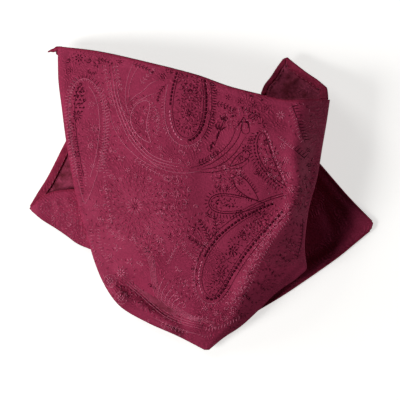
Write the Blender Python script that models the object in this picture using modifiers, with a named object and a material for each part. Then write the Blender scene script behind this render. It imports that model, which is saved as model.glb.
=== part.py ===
"""A hemmed pocket square of paisley satin, folded and laid down on a table.

One square of cloth, 254 mm on a side, is folded about a point near its lower
edge, so that it opens upwards like a pouch. The big front panel shows the face
of the satin. On the right the cloth turns under at a high fold, comes back with
its reverse side up as far as a hidden fold, and comes out again as a low flap.
On the left a corner lies open, with its far rim flat and its near lip raised.

Frame: +X to the right and +Y towards the top hem as seen from above, +Z up, and
the origin on the table under the middle of the part. The tables are in
millimetres and the model is built in metres.
"""
import math
from collections import namedtuple

import bpy
from mathutils import Vector

MM = 0.001
WALL = 1.2          # thickness of one cloth wall
HEM_WALL = 1.0      # thickness of a turned hem
HEM_WIDTH = 5.0     # how far a hem is turned in
GAP = 0.3           # air between pieces that touch
TUCK = 3.0          # how far the front panel runs on under itself after a fold
ARC_STEPS = 5       # straight steps round each rolled fold
LEFT, RIGHT = 0, 1

# The front panel, as sections from the top hem down to the folded point. Each runs
# from the left fold to the right fold: where the folds are, how high the cloth is
# there, the radius of the rolled fold and the angle it turns through, and how far
# along the section the crown and the ridge are, and how high.
Section = namedtuple("Section", "left_x left_y left_z left_roll left_turn "
                                "right_x right_y right_z right_roll right_turn "
                                "crown_at crown_z ridge_at ridge_z")
PANEL = [
    Section(-94.0, 100.0, 9.5, 2.4, 180, 84.5, 64.5, 26.0, 3.0, 146, 0.46, 33.0, 0.84, 37.0),
    Section(-93.8, 81.5, 10.5, 2.6, 180, 82.5, 51.0, 27.5, 3.0, 146, 0.48, 34.0, 0.84, 39.0),
    Section(-91.8, 58.0, 12.0, 3.0, 180, 79.5, 34.0, 29.5, 3.0, 146, 0.50, 35.5, 0.83, 40.5),
    Section(-89.0, 34.5, 13.5, 3.0, 180, 76.0, 13.5, 31.0, 3.0, 146, 0.50, 36.5, 0.89, 39.5),
    Section(-84.8, 11.0, 14.5, 2.8, 180, 70.0, -10.0, 30.5, 3.0, 146, 0.52, 37.0, 0.91, 38.0),
    Section(-80.0, -10.5, 12.5, 2.4, 180, 68.0, -31.0, 25.0, 3.0, 150, 0.52, 36.0, 0.84, 37.0),
    Section(-75.0, -28.0, 10.5, 2.1, 180, 69.5, -45.0, 18.0, 3.0, 160, 0.51, 34.0, 0.77, 35.0),
    Section(-70.8, -42.5, 9.0, 2.2, 180, 64.5, -52.5, 12.5, 2.8, 172, 0.52, 31.0, 0.77, 31.5),
    Section(-65.0, -56.5, 8.2, 2.4, 180, 50.0, -62.5, 9.8, 2.5, 180, 0.57, 26.5, 0.80, 27.0),
    Section(-54.5, -71.5, 7.4, 2.3, 180, 36.5, -73.5, 8.0, 2.2, 180, 0.60, 20.0, 0.82, 20.5),
    Section(-36.5, -82.5, 6.6, 2.0, 160, 25.5, -84.5, 6.8, 2.0, 160, 0.60, 14.0, 0.84, 14.0),
    Section(-17.5, -90.7, 5.8, 1.8, 120, 16.5, -91.7, 5.8, 1.8, 120, 0.60, 9.4, 0.80, 9.4),
    Section(-0.4, -100.4, 4.8, 1.5, 95, 6.9, -100.1, 4.8, 1.5, 95, 0.50, 5.5, 0.67, 5.5),
]
LAST = len(PANEL) - 1
PANEL_ROWS, PANEL_COLUMNS = 31, 20   # rows and columns of its mesh

# The top hem is not straight: how far along it, and how far it drops below the
# line between its ends. The drop fades out over the first sections.
HEM_AT = [0.0, 0.16, 0.34, 0.51, 0.64, 0.73, 0.82, 0.89, 1.0]
HEM_DROP = [0.0, -2.0, -0.7, 1.3, 5.0, 6.0, 6.8, 4.9, 0.0]
HEM_FADE = 3.0
HEM_CLEAR = 0.4     # air between a curved cloth and the hem that lies along it

# Soft hollow that runs inside the lower left fold: the sections that it crosses,
# its distance from the fold, half its width, and its depth.
HOLLOW_MIDDLE, HOLLOW_REACH = 9.4, 1.7
HOLLOW_IN, HOLLOW_HALF, HOLLOW_DEPTH = 12.0, 4.5, 1.8

# The stretch that turns under at the right fold. Its visible rows run from corner
# B down to the top hem, from the long hem to the short one.
BackRow = namedtuple("BackRow", "outer_x outer_y outer_z inner_x inner_y inner_z")
BACK_FREE = [
    BackRow(57.0, 93.2, 7.5, 54.6, 92.8, 7.0),
    BackRow(63.0, 87.8, 9.5, 50.6, 86.8, 6.0),
    BackRow(69.5, 82.6, 12.0, 46.6, 80.7, 5.2),
    BackRow(76.5, 77.6, 15.0, 42.0, 74.6, 4.6),
    BackRow(82.2, 72.6, 18.0, 40.0, 69.8, 4.0),
]
BACK_LAST = 6.82    # the section of the front panel where this stretch ends
FOOT_X = 40.5       # the hidden fold where it meets the low flap
FOOT_Z = 2.6
SEAM = 0.7          # air along the fold where the panel's tuck meets this stretch
BACK_SAG = 0.08     # how far the back fold hangs below a straight line, by its rise

# Flap C, low on the right, from its corner in under the panel: the upper hem and
# the lower one.
EdgePair = namedtuple("EdgePair", "upper_x upper_y lower_x lower_y")
FLAP_C = [
    EdgePair(114.6, -16.6, 113.4, -20.6),
    EdgePair(106.0, -8.0, 103.0, -29.2),
    EdgePair(97.0, 1.4, 91.8, -38.4),
    EdgePair(79.0, 22.2, 69.2, -54.4),
    EdgePair(60.0, 43.6, 54.0, -64.6),
    EdgePair(40.0, 66.0, 42.0, -72.6),
]
FLAP_REST = WALL    # top of a flap where it lies on the table
RIM_FLAT, RIM_FADE = 7.0, 13.0   # a flap's rim is raised over its hem, then comes down
RIM_SLANT = 0.75                 # the rows of flap C cross its hems at this slant
FLAP_C_HEM_END = 4.1             # the row where the hems under the flap end
FLAP_C_LEVEL = (4.2, 4.8)        # the raised rims sink to the table between these rows

# Corner D: its far rim and its lower edge, from the corner in under the panel.
FLAP_D_FAR = [
    EdgePair(-114.5, -6.9, -113.9, -7.8),
    EdgePair(-108.2, 3.6, -105.2, -8.7),
    EdgePair(-102.0, 13.4, -96.0, -14.4),
    EdgePair(-96.0, 25.0, -88.0, -19.4),
    EdgePair(-90.0, 36.8, -80.5, -24.4),
    EdgePair(-82.5, 49.0, -72.5, -29.6),
]
# The lip of corner D that is folded over: the raised hem and the rolled lower
# edge, with the height of each.
LipRow = namedtuple("LipRow", "upper_x upper_y upper_z lower_x lower_y lower_z")
FLAP_D_NEAR = [
    LipRow(-110.2, -3.4, 4.9, -110.0, -10.8, 3.6),
    LipRow(-106.0, 0.4, 5.8, -106.0, -13.6, 3.4),
    LipRow(-100.0, 3.3, 6.8, -97.3, -18.6, 3.3),
    LipRow(-92.6, 4.9, 7.7, -89.6, -23.6, 3.3),
    LipRow(-85.2, 5.3, 8.2, -82.4, -28.6, 3.5),
    LipRow(-78.4, 5.0, 8.1, -73.6, -34.2, 4.0),
]
LIP_ROLL = 1.6
LIP_TUCK = 0.8
LIP_BULGE = 1.4     # how far the lip's cloth domes between its two edges

# The hidden layers, by section of the front panel: how far in from each fold they
# start on the table, and how much of the height under the panel they fill. The
# steps in the share are the edges of the layers in the open mouth.
CoreRow = namedtuple("CoreRow", "section left_in right_in share")
HIDDEN = [
    CoreRow(0.36, 5.0, 3.0, 0.27), CoreRow(0.42, 3.6, 3.0, 0.34), CoreRow(0.62, 3.4, 3.0, 0.37),
    CoreRow(0.68, 3.6, 3.0, 0.53), CoreRow(0.88, 4.0, 3.0, 0.58), CoreRow(0.94, 4.6, 3.0, 0.76),
    CoreRow(1.14, 7.0, 3.0, 0.83), CoreRow(1.24, 8.0, 3.0, 0.95), CoreRow(1.60, 11.5, 3.0, 1.00),
    CoreRow(2.00, 12.5, 3.0, 1.00), CoreRow(3.00, 11.0, 3.0, 1.00), CoreRow(4.00, 9.5, 3.0, 1.00),
    CoreRow(5.00, 8.0, 3.0, 1.00), CoreRow(6.00, 6.0, 20.0, 1.00),
    CoreRow(7.20, 3.5, 22.5, 1.00), CoreRow(7.60, 3.0, 17.5, 1.00), CoreRow(8.00, 3.0, 11.0, 1.00),
    CoreRow(8.60, 3.0, 3.6, 1.00),
    CoreRow(9.20, 3.0, 3.0, 1.00), CoreRow(10.0, 2.8, 2.6, 1.00), CoreRow(11.0, 2.4, 2.4, 1.00),
    CoreRow(11.6, 2.2, 2.2, 1.00),
]
CORE_MOUTH = 1.5    # before this section the rings follow the layers in the mouth,
CORE_ROW_STEP = 0.4  # and after it they stand under the panel's own rows
CORE_CLEAR = 0.65   # air over the hidden layers, beyond the wall of the panel
CORE_SHELF = 1.2    # least height of the shelf where a tuck of the panel lies on them
CORE_PAST_TUCK = 0.7  # how far past the end of that tuck they step up
CORE_STEP = 1.8     # the length of that step
CORE_ROUND = 0.8    # the rounding of their edge on the table
CORE_TOP_POINTS = 15
BACK_CLEAR = 1.2    # the hidden layers stand this far over the back fold
CORE_REACH = 0.86   # the share of the back fold's run that they reach out over
CORE_EDGE = 2.5     # their least thickness there
CORE_FOOT_X = FOOT_X - 3.0

POINT_A = (-94.5, 98.9, 7.2)   # root of the turned point of corner A
POINT_LENGTH = 7.0
POINT_ROOT, POINT_TIP = 1.9, 0.4

FACE = dict(name="satin_face", color=(0.235, 0.028, 0.062, 1.0), roughness=0.42)
REVERSE = dict(name="satin_reverse", color=(0.105, 0.016, 0.032, 1.0), roughness=0.75)
HEM = dict(name="satin_hem", color=(0.190, 0.022, 0.050, 1.0), roughness=0.5)


def clear_scene():
    for old in list(bpy.data.objects):
        bpy.data.objects.remove(old, do_unlink=True)


def material(look):
    """The Principled material of a look, made once."""
    found = bpy.data.materials.get(look["name"])
    if found:
        return found
    made = bpy.data.materials.new(look["name"])
    made.use_nodes = True
    shader = made.node_tree.nodes["Principled BSDF"]
    shader.inputs["Base Color"].default_value = look["color"]
    shader.inputs["Roughness"].default_value = look["roughness"]
    shader.inputs["Metallic"].default_value = 0.0
    return made


def through(knots, values, at):
    """A smooth curve through values at knots, with no overshoot at level stretches."""
    last = len(knots) - 1
    at = min(max(at, knots[0]), knots[-1])
    i = next((k for k in range(last) if at <= knots[k + 1]), last - 1)
    slopes = [(values[k + 1] - values[k]) / (knots[k + 1] - knots[k]) for k in range(last)]

    def tangent(k):
        if k == 0:
            return slopes[0]
        if k == last:
            return slopes[-1]
        before, after = slopes[k - 1], slopes[k]
        if before * after <= 0:
            return 0.0
        return 2 * before * after / (before + after)

    step = knots[i + 1] - knots[i]
    t = (at - knots[i]) / step
    return ((2 * t ** 3 - 3 * t ** 2 + 1) * values[i] + (t ** 3 - 2 * t ** 2 + t) * step * tangent(i)
            + (3 * t ** 2 - 2 * t ** 3) * values[i + 1] + (t ** 3 - t ** 2) * step * tangent(i + 1))


def table_at(table, at):
    """A row of a table, read between its rows."""
    knots = list(range(len(table)))
    return type(table[0])(*(through(knots, column, at) for column in zip(*table)))


def section_width(row):
    return math.hypot(row.right_x - row.left_x, row.right_y - row.left_y)


def panel_height(row, section, along):
    """Height of the panel's upper side, a share of the way along a section."""
    height = through([0.0, row.crown_at, row.ridge_at, 1.0],
                     [row.left_z, row.crown_z, row.ridge_z, row.right_z], along)
    inward = along * section_width(row)
    hollow = math.exp(-((inward - HOLLOW_IN) / HOLLOW_HALF) ** 2)
    return height - HOLLOW_DEPTH * hollow * math.exp(-((section - HOLLOW_MIDDLE) / HOLLOW_REACH) ** 2)


def panel_point(section, along, height=None):
    """A point over a section of the panel: on its upper side, or at a given height."""
    row = table_at(PANEL, section)
    x = row.left_x + along * (row.right_x - row.left_x)
    y = row.left_y + along * (row.right_y - row.left_y)
    y -= through(HEM_AT, HEM_DROP, along) * max(0.0, 1 - section / HEM_FADE)
    if height is None:
        height = panel_height(row, section, along)
    return Vector((x, y, height))


def rolled(height_at, roll, turn, tuck):
    """Points round a rolled edge, as distance in from the fold and height, from top to end."""
    slope = math.atan2(height_at(roll + 1.0) - height_at(roll), 1.0)
    start = roll * (1 - math.sin(slope))
    centre = height_at(start) - roll * math.cos(slope)
    points = []
    for step in range(ARC_STEPS + 1):
        angle = slope + (turn - slope) * step / ARC_STEPS
        points.append((roll - roll * math.sin(angle), centre + roll * math.cos(angle)))
    points.append((points[-1][0] - tuck * math.cos(turn), points[-1][1] - tuck * math.sin(turn)))
    return points


def fold_slant(section, side):
    """How much longer a step along a section is than a step square to the fold."""
    before, after = (table_at(PANEL, min(max(section + step, 0), LAST)) for step in (-0.4, 0.4))
    if side == LEFT:
        along = Vector((after.left_x - before.left_x, after.left_y - before.left_y)).normalized()
    else:
        along = Vector((after.right_x - before.right_x, after.right_y - before.right_y)).normalized()
    row = table_at(PANEL, section)
    chord = Vector((row.right_x - row.left_x, row.right_y - row.left_y)).normalized()
    return 1 / max(abs(along.cross(chord)), 0.4)


def fold_profile(section, side):
    """Points round a fold of the panel, as share along the section and height.

    The inner end of the tuck comes with them, in millimetres.
    """
    row = table_at(PANEL, section)
    slant = fold_slant(section, side)
    width = section_width(row) / slant

    def height_at(inward):
        share = inward / width
        return panel_height(row, section, share if side == LEFT else 1 - share)

    roll = row.left_roll if side == LEFT else row.right_roll
    turn = math.radians(row.left_turn if side == LEFT else row.right_turn)
    points = rolled(height_at, roll, turn, min(TUCK, 0.08 * width))
    shares = [(inward / width if side == LEFT else 1 - inward / width, z) for inward, z in points]
    return shares, (points[-1][0] * slant, points[-1][1])


def spread(first, last, count):
    return [first + (last - first) * k / (count - 1) for k in range(count)]


def mesh_object(name, verts, faces, look, collection):
    mesh = bpy.data.meshes.new(name)
    mesh.from_pydata([tuple(c * MM for c in v) for v in verts], [], faces)
    mesh.materials.append(material(look))
    mesh.shade_smooth()
    made = bpy.data.objects.new(name, mesh)
    collection.objects.link(made)
    return made


def cloth(name, rows, look, collection, wall=WALL):
    """A cloth wall: a grid of points on its upper side, thickened downwards.

    Rows follow each other downwards on the page and their points run to the right.
    """
    across = len(rows[0])
    verts = [p for row in rows for p in row]
    faces = []
    for i in range(len(rows) - 1):
        for j in range(across - 1):
            a = i * across + j
            faces.append((a, a + across, a + across + 1, a + 1))
    made = mesh_object(name, verts, faces, look, collection)
    thick = made.modifiers.new("Cloth", "SOLIDIFY")
    thick.thickness = wall * MM
    thick.offset = -1.0
    thick.use_even_offset = True
    return made


def lofted(name, rings, look, collection):
    """A closed solid through rings of equal length, with its two ends capped."""
    count = len(rings[0])
    verts = [p for ring in rings for p in ring]
    faces = [tuple(range(count))]
    for i in range(len(rings) - 1):
        for j in range(count):
            a, b = i * count + j, i * count + (j + 1) % count
            faces.append((a, a + count, b + count, b))
    faces.append(tuple(reversed(range((len(rings) - 1) * count, len(rings) * count))))
    return mesh_object(name, verts, faces, look, collection)


def upward_normal(point_at, at, across):
    """The normal of a surface of points, on its upper side."""
    step = 0.01
    down = point_at(at + step, across) - point_at(at - step, across)
    right = point_at(at, across + step) - point_at(at, across - step)
    normal = down.cross(right).normalized()
    return normal if normal.z > 0 else -normal


def moved_off(point_at, at, across, distance):
    """A surface's point, moved along the surface's normal, upwards when positive."""
    return point_at(at, across) + upward_normal(point_at, at, across) * distance


def share_across(point_at, at, from_edge, width):
    """The share of a row that a hem of true width takes, measured square to its edge."""
    inward = 0.01 if from_edge == 0 else -0.01
    along = (point_at(at + 0.05, from_edge) - point_at(at - 0.05, from_edge)).normalized()
    across = point_at(at, from_edge + inward) - point_at(at, from_edge)
    return min(width * abs(inward) / across.cross(along).length, 0.44)


def hem(name, point_at, stations, from_edge, distance, collection):
    """A hem along one edge of a cloth: its rows run with the edge, on or under the cloth."""
    rows = []
    for at in stations:
        share = share_across(point_at, at, from_edge, HEM_WIDTH)
        ends = (0.0, share) if from_edge == 0 else (1 - share, 1.0)
        rows.append([moved_off(point_at, at, across, distance) for across in spread(*ends, 3)])
    first, last = rows[0][0], rows[-1][0]
    right = rows[0][-1] - first
    if (last - first).cross(right).z < 0:
        rows = [list(reversed(row)) for row in rows]
    return cloth(name, rows, HEM, collection, HEM_WALL)


def front_panel(collection):
    """The big stretch, with its rolled folds on the left and the right."""
    rows = []
    for section in spread(0.0, LAST, PANEL_ROWS):
        left, _ = fold_profile(section, LEFT)
        right, _ = fold_profile(section, RIGHT)
        top = spread(left[0][0], right[0][0], PANEL_COLUMNS)[1:-1]
        row = [panel_point(section, share, z) for share, z in reversed(left)]
        row += [panel_point(section, share) for share in top]
        row += [panel_point(section, share, z) for share, z in right]
        rows.append(row)
    return cloth("front_panel", rows, FACE, collection)


def hem_front(collection):
    """The hem from A to B, turned to the reverse side along the panel's top edge."""
    depth = HEM_WIDTH / (PANEL[0].left_y - PANEL[1].left_y)
    left, right = fold_profile(0.0, LEFT)[0][0][0], fold_profile(0.0, RIGHT)[0][0][0]
    alongs = spread(left, right, PANEL_COLUMNS)[1:-1]
    rows = [[moved_off(panel_point, section, along, -WALL - HEM_CLEAR) for along in alongs]
            for section in spread(0.0, depth, 3)]
    return cloth("hem_front", rows, HEM, collection, HEM_WALL)


def back_ends(at):
    """Outer and inner end of a row of the back fold: free rows first, then the panel's sections."""
    free = len(BACK_FREE) - 1
    if at <= free:
        row = table_at(BACK_FREE, at)
        return (Vector((row.outer_x, row.outer_y, row.outer_z)),
                Vector((row.inner_x, row.inner_y, row.inner_z)))
    section = max(0.0, at - free - 1)
    row = table_at(PANEL, section)
    _, (inward, height) = fold_profile(section, RIGHT)
    foot = (FOOT_X - row.left_x) / (row.right_x - row.left_x)
    turn = math.radians(row.right_turn)
    inward += -math.cos(turn) * SEAM + math.sin(turn) * WALL
    height += -math.sin(turn) * SEAM - math.cos(turn) * WALL
    outer = panel_point(section, 1 - inward / section_width(row), height)
    inner = panel_point(section, foot, FOOT_Z)
    if at < free + 1:
        above_outer, above_inner = back_ends(free)
        blend = at - free
        return above_outer.lerp(outer, blend), above_inner.lerp(inner, blend)
    return outer, inner


def back_point(at, across):
    """A point of the back fold, from its foot across to its outer edge: it hangs in a soft curve."""
    outer, inner = back_ends(at)
    point = inner.lerp(outer, across)
    point.z -= BACK_SAG * (outer.z - inner.z) * math.sin(math.pi * across)
    return point


def back_fold(collection):
    last = len(BACK_FREE) + BACK_LAST
    rows = [[back_point(at, across) for across in spread(0.0, 1.0, 9)] for at in spread(0.0, last, 24)]
    return cloth("back_fold", rows, REVERSE, collection)


def rim_raise(distance):
    """How much a flap is raised over the hem under its rim, by distance in from the edge."""
    fade = min(max((distance - RIM_FLAT) / (RIM_FADE - RIM_FLAT), 0.0), 1.0)
    return (HEM_WALL + GAP) * (1 - fade * fade * (3 - 2 * fade))


def flap_c_point(at, across):
    """A point of flap C, from its lower hem across to its upper one."""
    row = table_at(FLAP_C, at)
    lower = Vector((row.lower_x, row.lower_y, 0.0))
    upper = Vector((row.upper_x, row.upper_y, 0.0))
    point = lower.lerp(upper, across)
    from_edge = min(across, 1 - across) * (upper - lower).length * RIM_SLANT
    start, end = FLAP_C_LEVEL
    raised = min(max((end - at) / (end - start), 0.0), 1.0)
    point.z = FLAP_REST + rim_raise(from_edge) * raised
    return point


def flap_c(collection):
    rows = [[flap_c_point(at, across) for at in spread(len(FLAP_C) - 1, 0.0, 18)]
            for across in spread(1.0, 0.0, 17)]
    return cloth("flap_c", rows, FACE, collection)


def flap_d_far_point(at, across):
    """A point of the far side of corner D, from its lower edge across to its rim."""
    row = table_at(FLAP_D_FAR, at)
    return Vector((row.lower_x + across * (row.upper_x - row.lower_x),
                   row.lower_y + across * (row.upper_y - row.lower_y), FLAP_REST))


def flap_d_far(collection):
    rows = [[flap_d_far_point(at, across) for at in spread(0.0, len(FLAP_D_FAR) - 1, 11)]
            for across in spread(1.0, 0.0, 8)]
    return cloth("flap_d_far", rows, REVERSE, collection)


def lip_ends(at):
    row = table_at(FLAP_D_NEAR, at)
    return (Vector((row.lower_x, row.lower_y, row.lower_z)),
            Vector((row.upper_x, row.upper_y, row.upper_z)))


def lip_point(at, across):
    """A point of the near side of corner D, from its lower edge across to the raised lip."""
    lower, upper = lip_ends(at)
    point = lower.lerp(upper, across)
    point.z += LIP_BULGE * math.sin(math.pi * across)
    return point


def flap_d_near(collection):
    rows = []
    for at in spread(0.0, len(FLAP_D_NEAR) - 1, 12):
        lower, upper = lip_ends(at)
        width = (upper - lower).xy.length
        edge = rolled(lambda inward: lip_point(at, inward / width).z, LIP_ROLL, math.pi, LIP_TUCK)
        row = []
        for inward, height in reversed(edge):
            point = lower.lerp(upper, inward / width)
            point.z = height
            row.append(point)
        row += [lip_point(at, across) for across in spread(edge[0][0] / width, 1.0, 8)[1:]]
        rows.append(list(reversed(row)))
    rows = [list(column) for column in zip(*rows)]
    return cloth("flap_d_near", rows, FACE, collection)


def core_side(section, top_at):
    """The side of the hidden layers over the back fold, from under their top down to the table."""
    at = len(BACK_FREE) + section
    row = table_at(PANEL, section)

    def side_point(across):
        point = back_point(at, across)
        return (point.x - row.left_x) / (row.right_x - row.left_x), point.z + BACK_CLEAR

    reach = CORE_REACH
    while reach > 0.1 and side_point(reach)[1] > top_at(side_point(reach)[0]) - CORE_EDGE:
        reach -= 0.005
    points = [side_point(across) for across in spread(reach, 0.0, 5)]
    foot = (CORE_FOOT_X - row.left_x) / (row.right_x - row.left_x)
    return points + [(foot, FOOT_Z), (foot, CORE_ROUND), (foot - CORE_ROUND / section_width(row), 0.0)]


def core_ring(row):
    """One ring of the hidden layers, in the plane of a section of the panel."""
    panel_row = table_at(PANEL, row.section)
    width = section_width(panel_row)
    _, left_end = fold_profile(row.section, LEFT)
    _, right_end = fold_profile(row.section, RIGHT)

    def ledge(end):
        return max(CORE_SHELF, end[1] - CORE_CLEAR)

    def under_panel(share):
        upright = upward_normal(panel_point, row.section, share).z
        return (panel_height(panel_row, row.section, share) - (WALL + CORE_CLEAR) / upright) * row.share

    def step_up(side, turn, tuck_end, start):
        past_tuck = WALL * math.sin(math.radians(turn)) + CORE_PAST_TUCK
        return max(tuck_end[0] + past_tuck * fold_slant(row.section, side), start + 1.5 * CORE_ROUND)

    start = row.left_in
    step = step_up(LEFT, panel_row.left_turn, left_end, start)
    shelf = ledge(left_end) * row.share
    edge = [(start + CORE_ROUND, 0.0), (start, 0.4 * shelf), (start + 0.25 * CORE_ROUND, 0.8 * shelf),
            (start + CORE_ROUND, shelf), (step, shelf)]
    left = [(inward / width, height) for inward, height in edge]
    first = (step + CORE_STEP) / width
    if row.section < BACK_LAST:
        right = core_side(row.section, under_panel)
        outer = right[0][0]
        last = outer - 0.2 / width
        right.insert(0, (outer + CORE_ROUND / width, 0.5 * (right[0][1] + under_panel(last))))
    else:
        start = row.right_in
        step = step_up(RIGHT, panel_row.right_turn, right_end, start)
        shelf = ledge(right_end)
        last = 1 - (step + CORE_STEP) / width
        edge = [(step, 0.5 * (shelf + under_panel(last))), (step, shelf),
                (0.5 * (step + start + CORE_ROUND), shelf), (start + CORE_ROUND, shelf),
                (start + 0.5 * CORE_ROUND, 0.95 * shelf), (start + 0.25 * CORE_ROUND, 0.8 * shelf),
                (start, 0.4 * shelf), (start, 0.3 * shelf), (start + CORE_ROUND, 0.0)]
        right = [(1 - inward / width, height) for inward, height in edge]
    top = [(share, under_panel(share)) for share in spread(first, last, CORE_TOP_POINTS)]
    return [panel_point(row.section, share, height) for share, height in left + top + right]


def hidden_folds(collection):
    """The layers that nothing shows, as one rounded solid under the panel."""
    stations = [row.section for row in HIDDEN if row.section < CORE_MOUTH]
    under = range(math.ceil(stations[-1] / CORE_ROW_STEP), round(HIDDEN[-1].section / CORE_ROW_STEP) + 1)
    stations += [CORE_ROW_STEP * row for row in under]
    knots = [row.section for row in HIDDEN]
    rings = []
    for station in stations:
        row = CoreRow(*(through(knots, column, station) for column in zip(*HIDDEN)))
        rings.append(core_ring(row))
    return lofted("hidden_folds", rings, REVERSE, collection)


def point_a(collection):
    """The turned point of corner A: a small tapered roll of cloth."""
    bpy.ops.mesh.primitive_cone_add(
        vertices=10, radius1=POINT_ROOT * MM, radius2=POINT_TIP * MM, depth=POINT_LENGTH * MM,
        location=[c * MM for c in (POINT_A[0] - POINT_LENGTH / 2, POINT_A[1], POINT_A[2])],
        rotation=(0.0, math.radians(-94), math.radians(4)))
    made = bpy.context.object
    made.name = "point_a"
    made.data.name = "point_a"
    made.data.materials.append(material(HEM))
    made.data.shade_smooth()
    for other in made.users_collection:
        other.objects.unlink(made)
    collection.objects.link(made)
    return made


def build():
    clear_scene()
    collection = bpy.data.collections.new("pocket_square")
    bpy.context.scene.collection.children.link(collection)
    free = len(BACK_FREE) - 1
    front_panel(collection)
    hem_front(collection)
    back_fold(collection)
    b_rows = spread(0.25, free, 10)
    hem("hem_b_long", back_point, b_rows, 1, HEM_CLEAR + HEM_WALL, collection)
    hem("hem_b_short", back_point, b_rows, 0, HEM_CLEAR + HEM_WALL, collection)
    flap_c(collection)
    c_rows = spread(0.35, FLAP_C_HEM_END, 12)
    hem("hem_c_upper", flap_c_point, c_rows, 1, -WALL - GAP, collection)
    hem("hem_c_lower", flap_c_point, c_rows, 0, -WALL - GAP, collection)
    flap_d_far(collection)
    hem("hem_d_rim", flap_d_far_point, spread(0.5, 4.9, 10), 1, GAP + HEM_WALL, collection)
    flap_d_near(collection)
    hem("hem_d_lip", lip_point, spread(1.3, 4.9, 9), 1, -WALL - GAP, collection)
    hidden_folds(collection)
    point_a(collection)


build()
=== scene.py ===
import math
from collections import namedtuple

import bmesh
import bpy
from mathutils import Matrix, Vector, noise
from mathutils.bvhtree import BVHTree


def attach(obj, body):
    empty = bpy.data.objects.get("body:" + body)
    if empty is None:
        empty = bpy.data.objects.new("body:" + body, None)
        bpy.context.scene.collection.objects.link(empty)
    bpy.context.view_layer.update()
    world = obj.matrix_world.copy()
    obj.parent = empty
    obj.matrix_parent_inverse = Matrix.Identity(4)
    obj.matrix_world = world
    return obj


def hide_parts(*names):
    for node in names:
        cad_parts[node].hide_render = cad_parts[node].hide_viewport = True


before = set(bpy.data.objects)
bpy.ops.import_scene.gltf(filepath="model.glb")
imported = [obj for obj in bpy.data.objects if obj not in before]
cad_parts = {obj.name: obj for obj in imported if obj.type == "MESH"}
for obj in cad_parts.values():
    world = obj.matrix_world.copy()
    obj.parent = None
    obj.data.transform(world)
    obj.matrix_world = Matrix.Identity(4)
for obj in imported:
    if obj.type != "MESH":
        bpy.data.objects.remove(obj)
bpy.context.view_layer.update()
bpy.ops.object.select_all(action="DESELECT")

# Photo set
# A pale tabletop under one large soft lamp, low on the left, and two weak ones. The camera
# looks straight down, as in the photo. Nothing here belongs to the cloth.
MM = 0.001
# Places and sizes of the camera and the lamps are in millimetres, powers in watts.
CAMERA_HEIGHT = 1600
CAMERA_X, CAMERA_Y = -0.83, -1.33
CAMERA_LENS, CAMERA_SENSOR = 216, 36
KEY_PLACE, KEY_SIZE, KEY_POWER = (-2065, -726, 1300), 880, 42.4
FILL_PLACE, FILL_SIZE, FILL_POWER = (-1330, 1330, 896), 840, 12.9
RIGHT_PLACE, RIGHT_SIZE, RIGHT_POWER = (1380, -150, 95), 240, 5.2
FLOOR_WHITE, FLOOR_GLOW = "F4F3F1", 0.72
FLOOR_SIZE, FLOOR_DROP = 6.0, 0.0002     # in metres; the drop keeps it clear of the cloth
ROOM_TINT, ROOM_LIGHT = (1.0, 0.97, 0.95, 1.0), 0.022


def linear(hex_colour):
    """An sRGB hex colour as the linear values that Blender works in."""
    shares = [int(hex_colour[k:k + 2], 16) / 255 for k in (0, 2, 4)]
    return tuple(c / 12.92 if c <= 0.04045 else ((c + 0.055) / 1.055) ** 2.4 for c in shares) + (1.0,)


def node(tree, kind, values=None, links=None, **settings):
    """Adds a shader node with its settings, its socket values and the sockets that feed it."""
    made = tree.nodes.new(kind)
    for name, value in settings.items():
        setattr(made, name, value)
    for socket, value in (values or {}).items():
        made.inputs[socket].default_value = value
    for socket, source in (links or {}).items():
        tree.links.new(source, made.inputs[socket])
    return made


def new_material(name):
    """A material with an empty tree but for its output."""
    made = bpy.data.materials.new(name)
    made.use_nodes = True
    made.node_tree.nodes.clear()
    return made, made.node_tree


def lamp(name, place, size, power):
    """A square soft lamp that faces the middle of the cloth."""
    where = Vector(place) * MM
    aim = (-where).to_track_quat("-Z", "Y").to_euler()
    bpy.ops.object.light_add(type="AREA", location=where, rotation=aim)
    made = bpy.context.object
    made.name = name
    made.data.size = size * MM
    made.data.energy = power


lamp("key_lamp", KEY_PLACE, KEY_SIZE, KEY_POWER)
lamp("fill_lamp", FILL_PLACE, FILL_SIZE, FILL_POWER)
lamp("right_lamp", RIGHT_PLACE, RIGHT_SIZE, RIGHT_POWER)

# Pale matt tabletop; it glows a little, so that shadows on it stay light.
floor_material, tree = new_material("pale_tabletop")
shade = node(tree, "ShaderNodeBsdfPrincipled",
             {"Base Color": linear(FLOOR_WHITE), "Roughness": 0.9, "Specular IOR Level": 0.1,
              "Emission Color": linear(FLOOR_WHITE), "Emission Strength": FLOOR_GLOW})
node(tree, "ShaderNodeOutputMaterial", links={"Surface": shade.outputs[0]})
bpy.ops.mesh.primitive_plane_add(size=FLOOR_SIZE, location=(0.0, 0.0, -FLOOR_DROP))
tabletop = bpy.context.object
tabletop.name = "tabletop"
tabletop.data.materials.append(floor_material)
tabletop.visible_diffuse = False
tabletop.visible_glossy = False

room = bpy.data.worlds.new("studio")
room.use_nodes = True
room.node_tree.nodes["Background"].inputs["Color"].default_value = ROOM_TINT
room.node_tree.nodes["Background"].inputs["Strength"].default_value = ROOM_LIGHT
bpy.context.scene.world = room
bpy.context.scene.view_settings.view_transform = "Standard"

bpy.ops.object.camera_add(location=(CAMERA_X * MM, CAMERA_Y * MM, CAMERA_HEIGHT * MM),
                          rotation=(0.0, 0.0, 0.0))
camera = bpy.context.object
camera.data.lens = CAMERA_LENS
camera.data.sensor_width = CAMERA_SENSOR
bpy.context.scene.camera = camera

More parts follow.
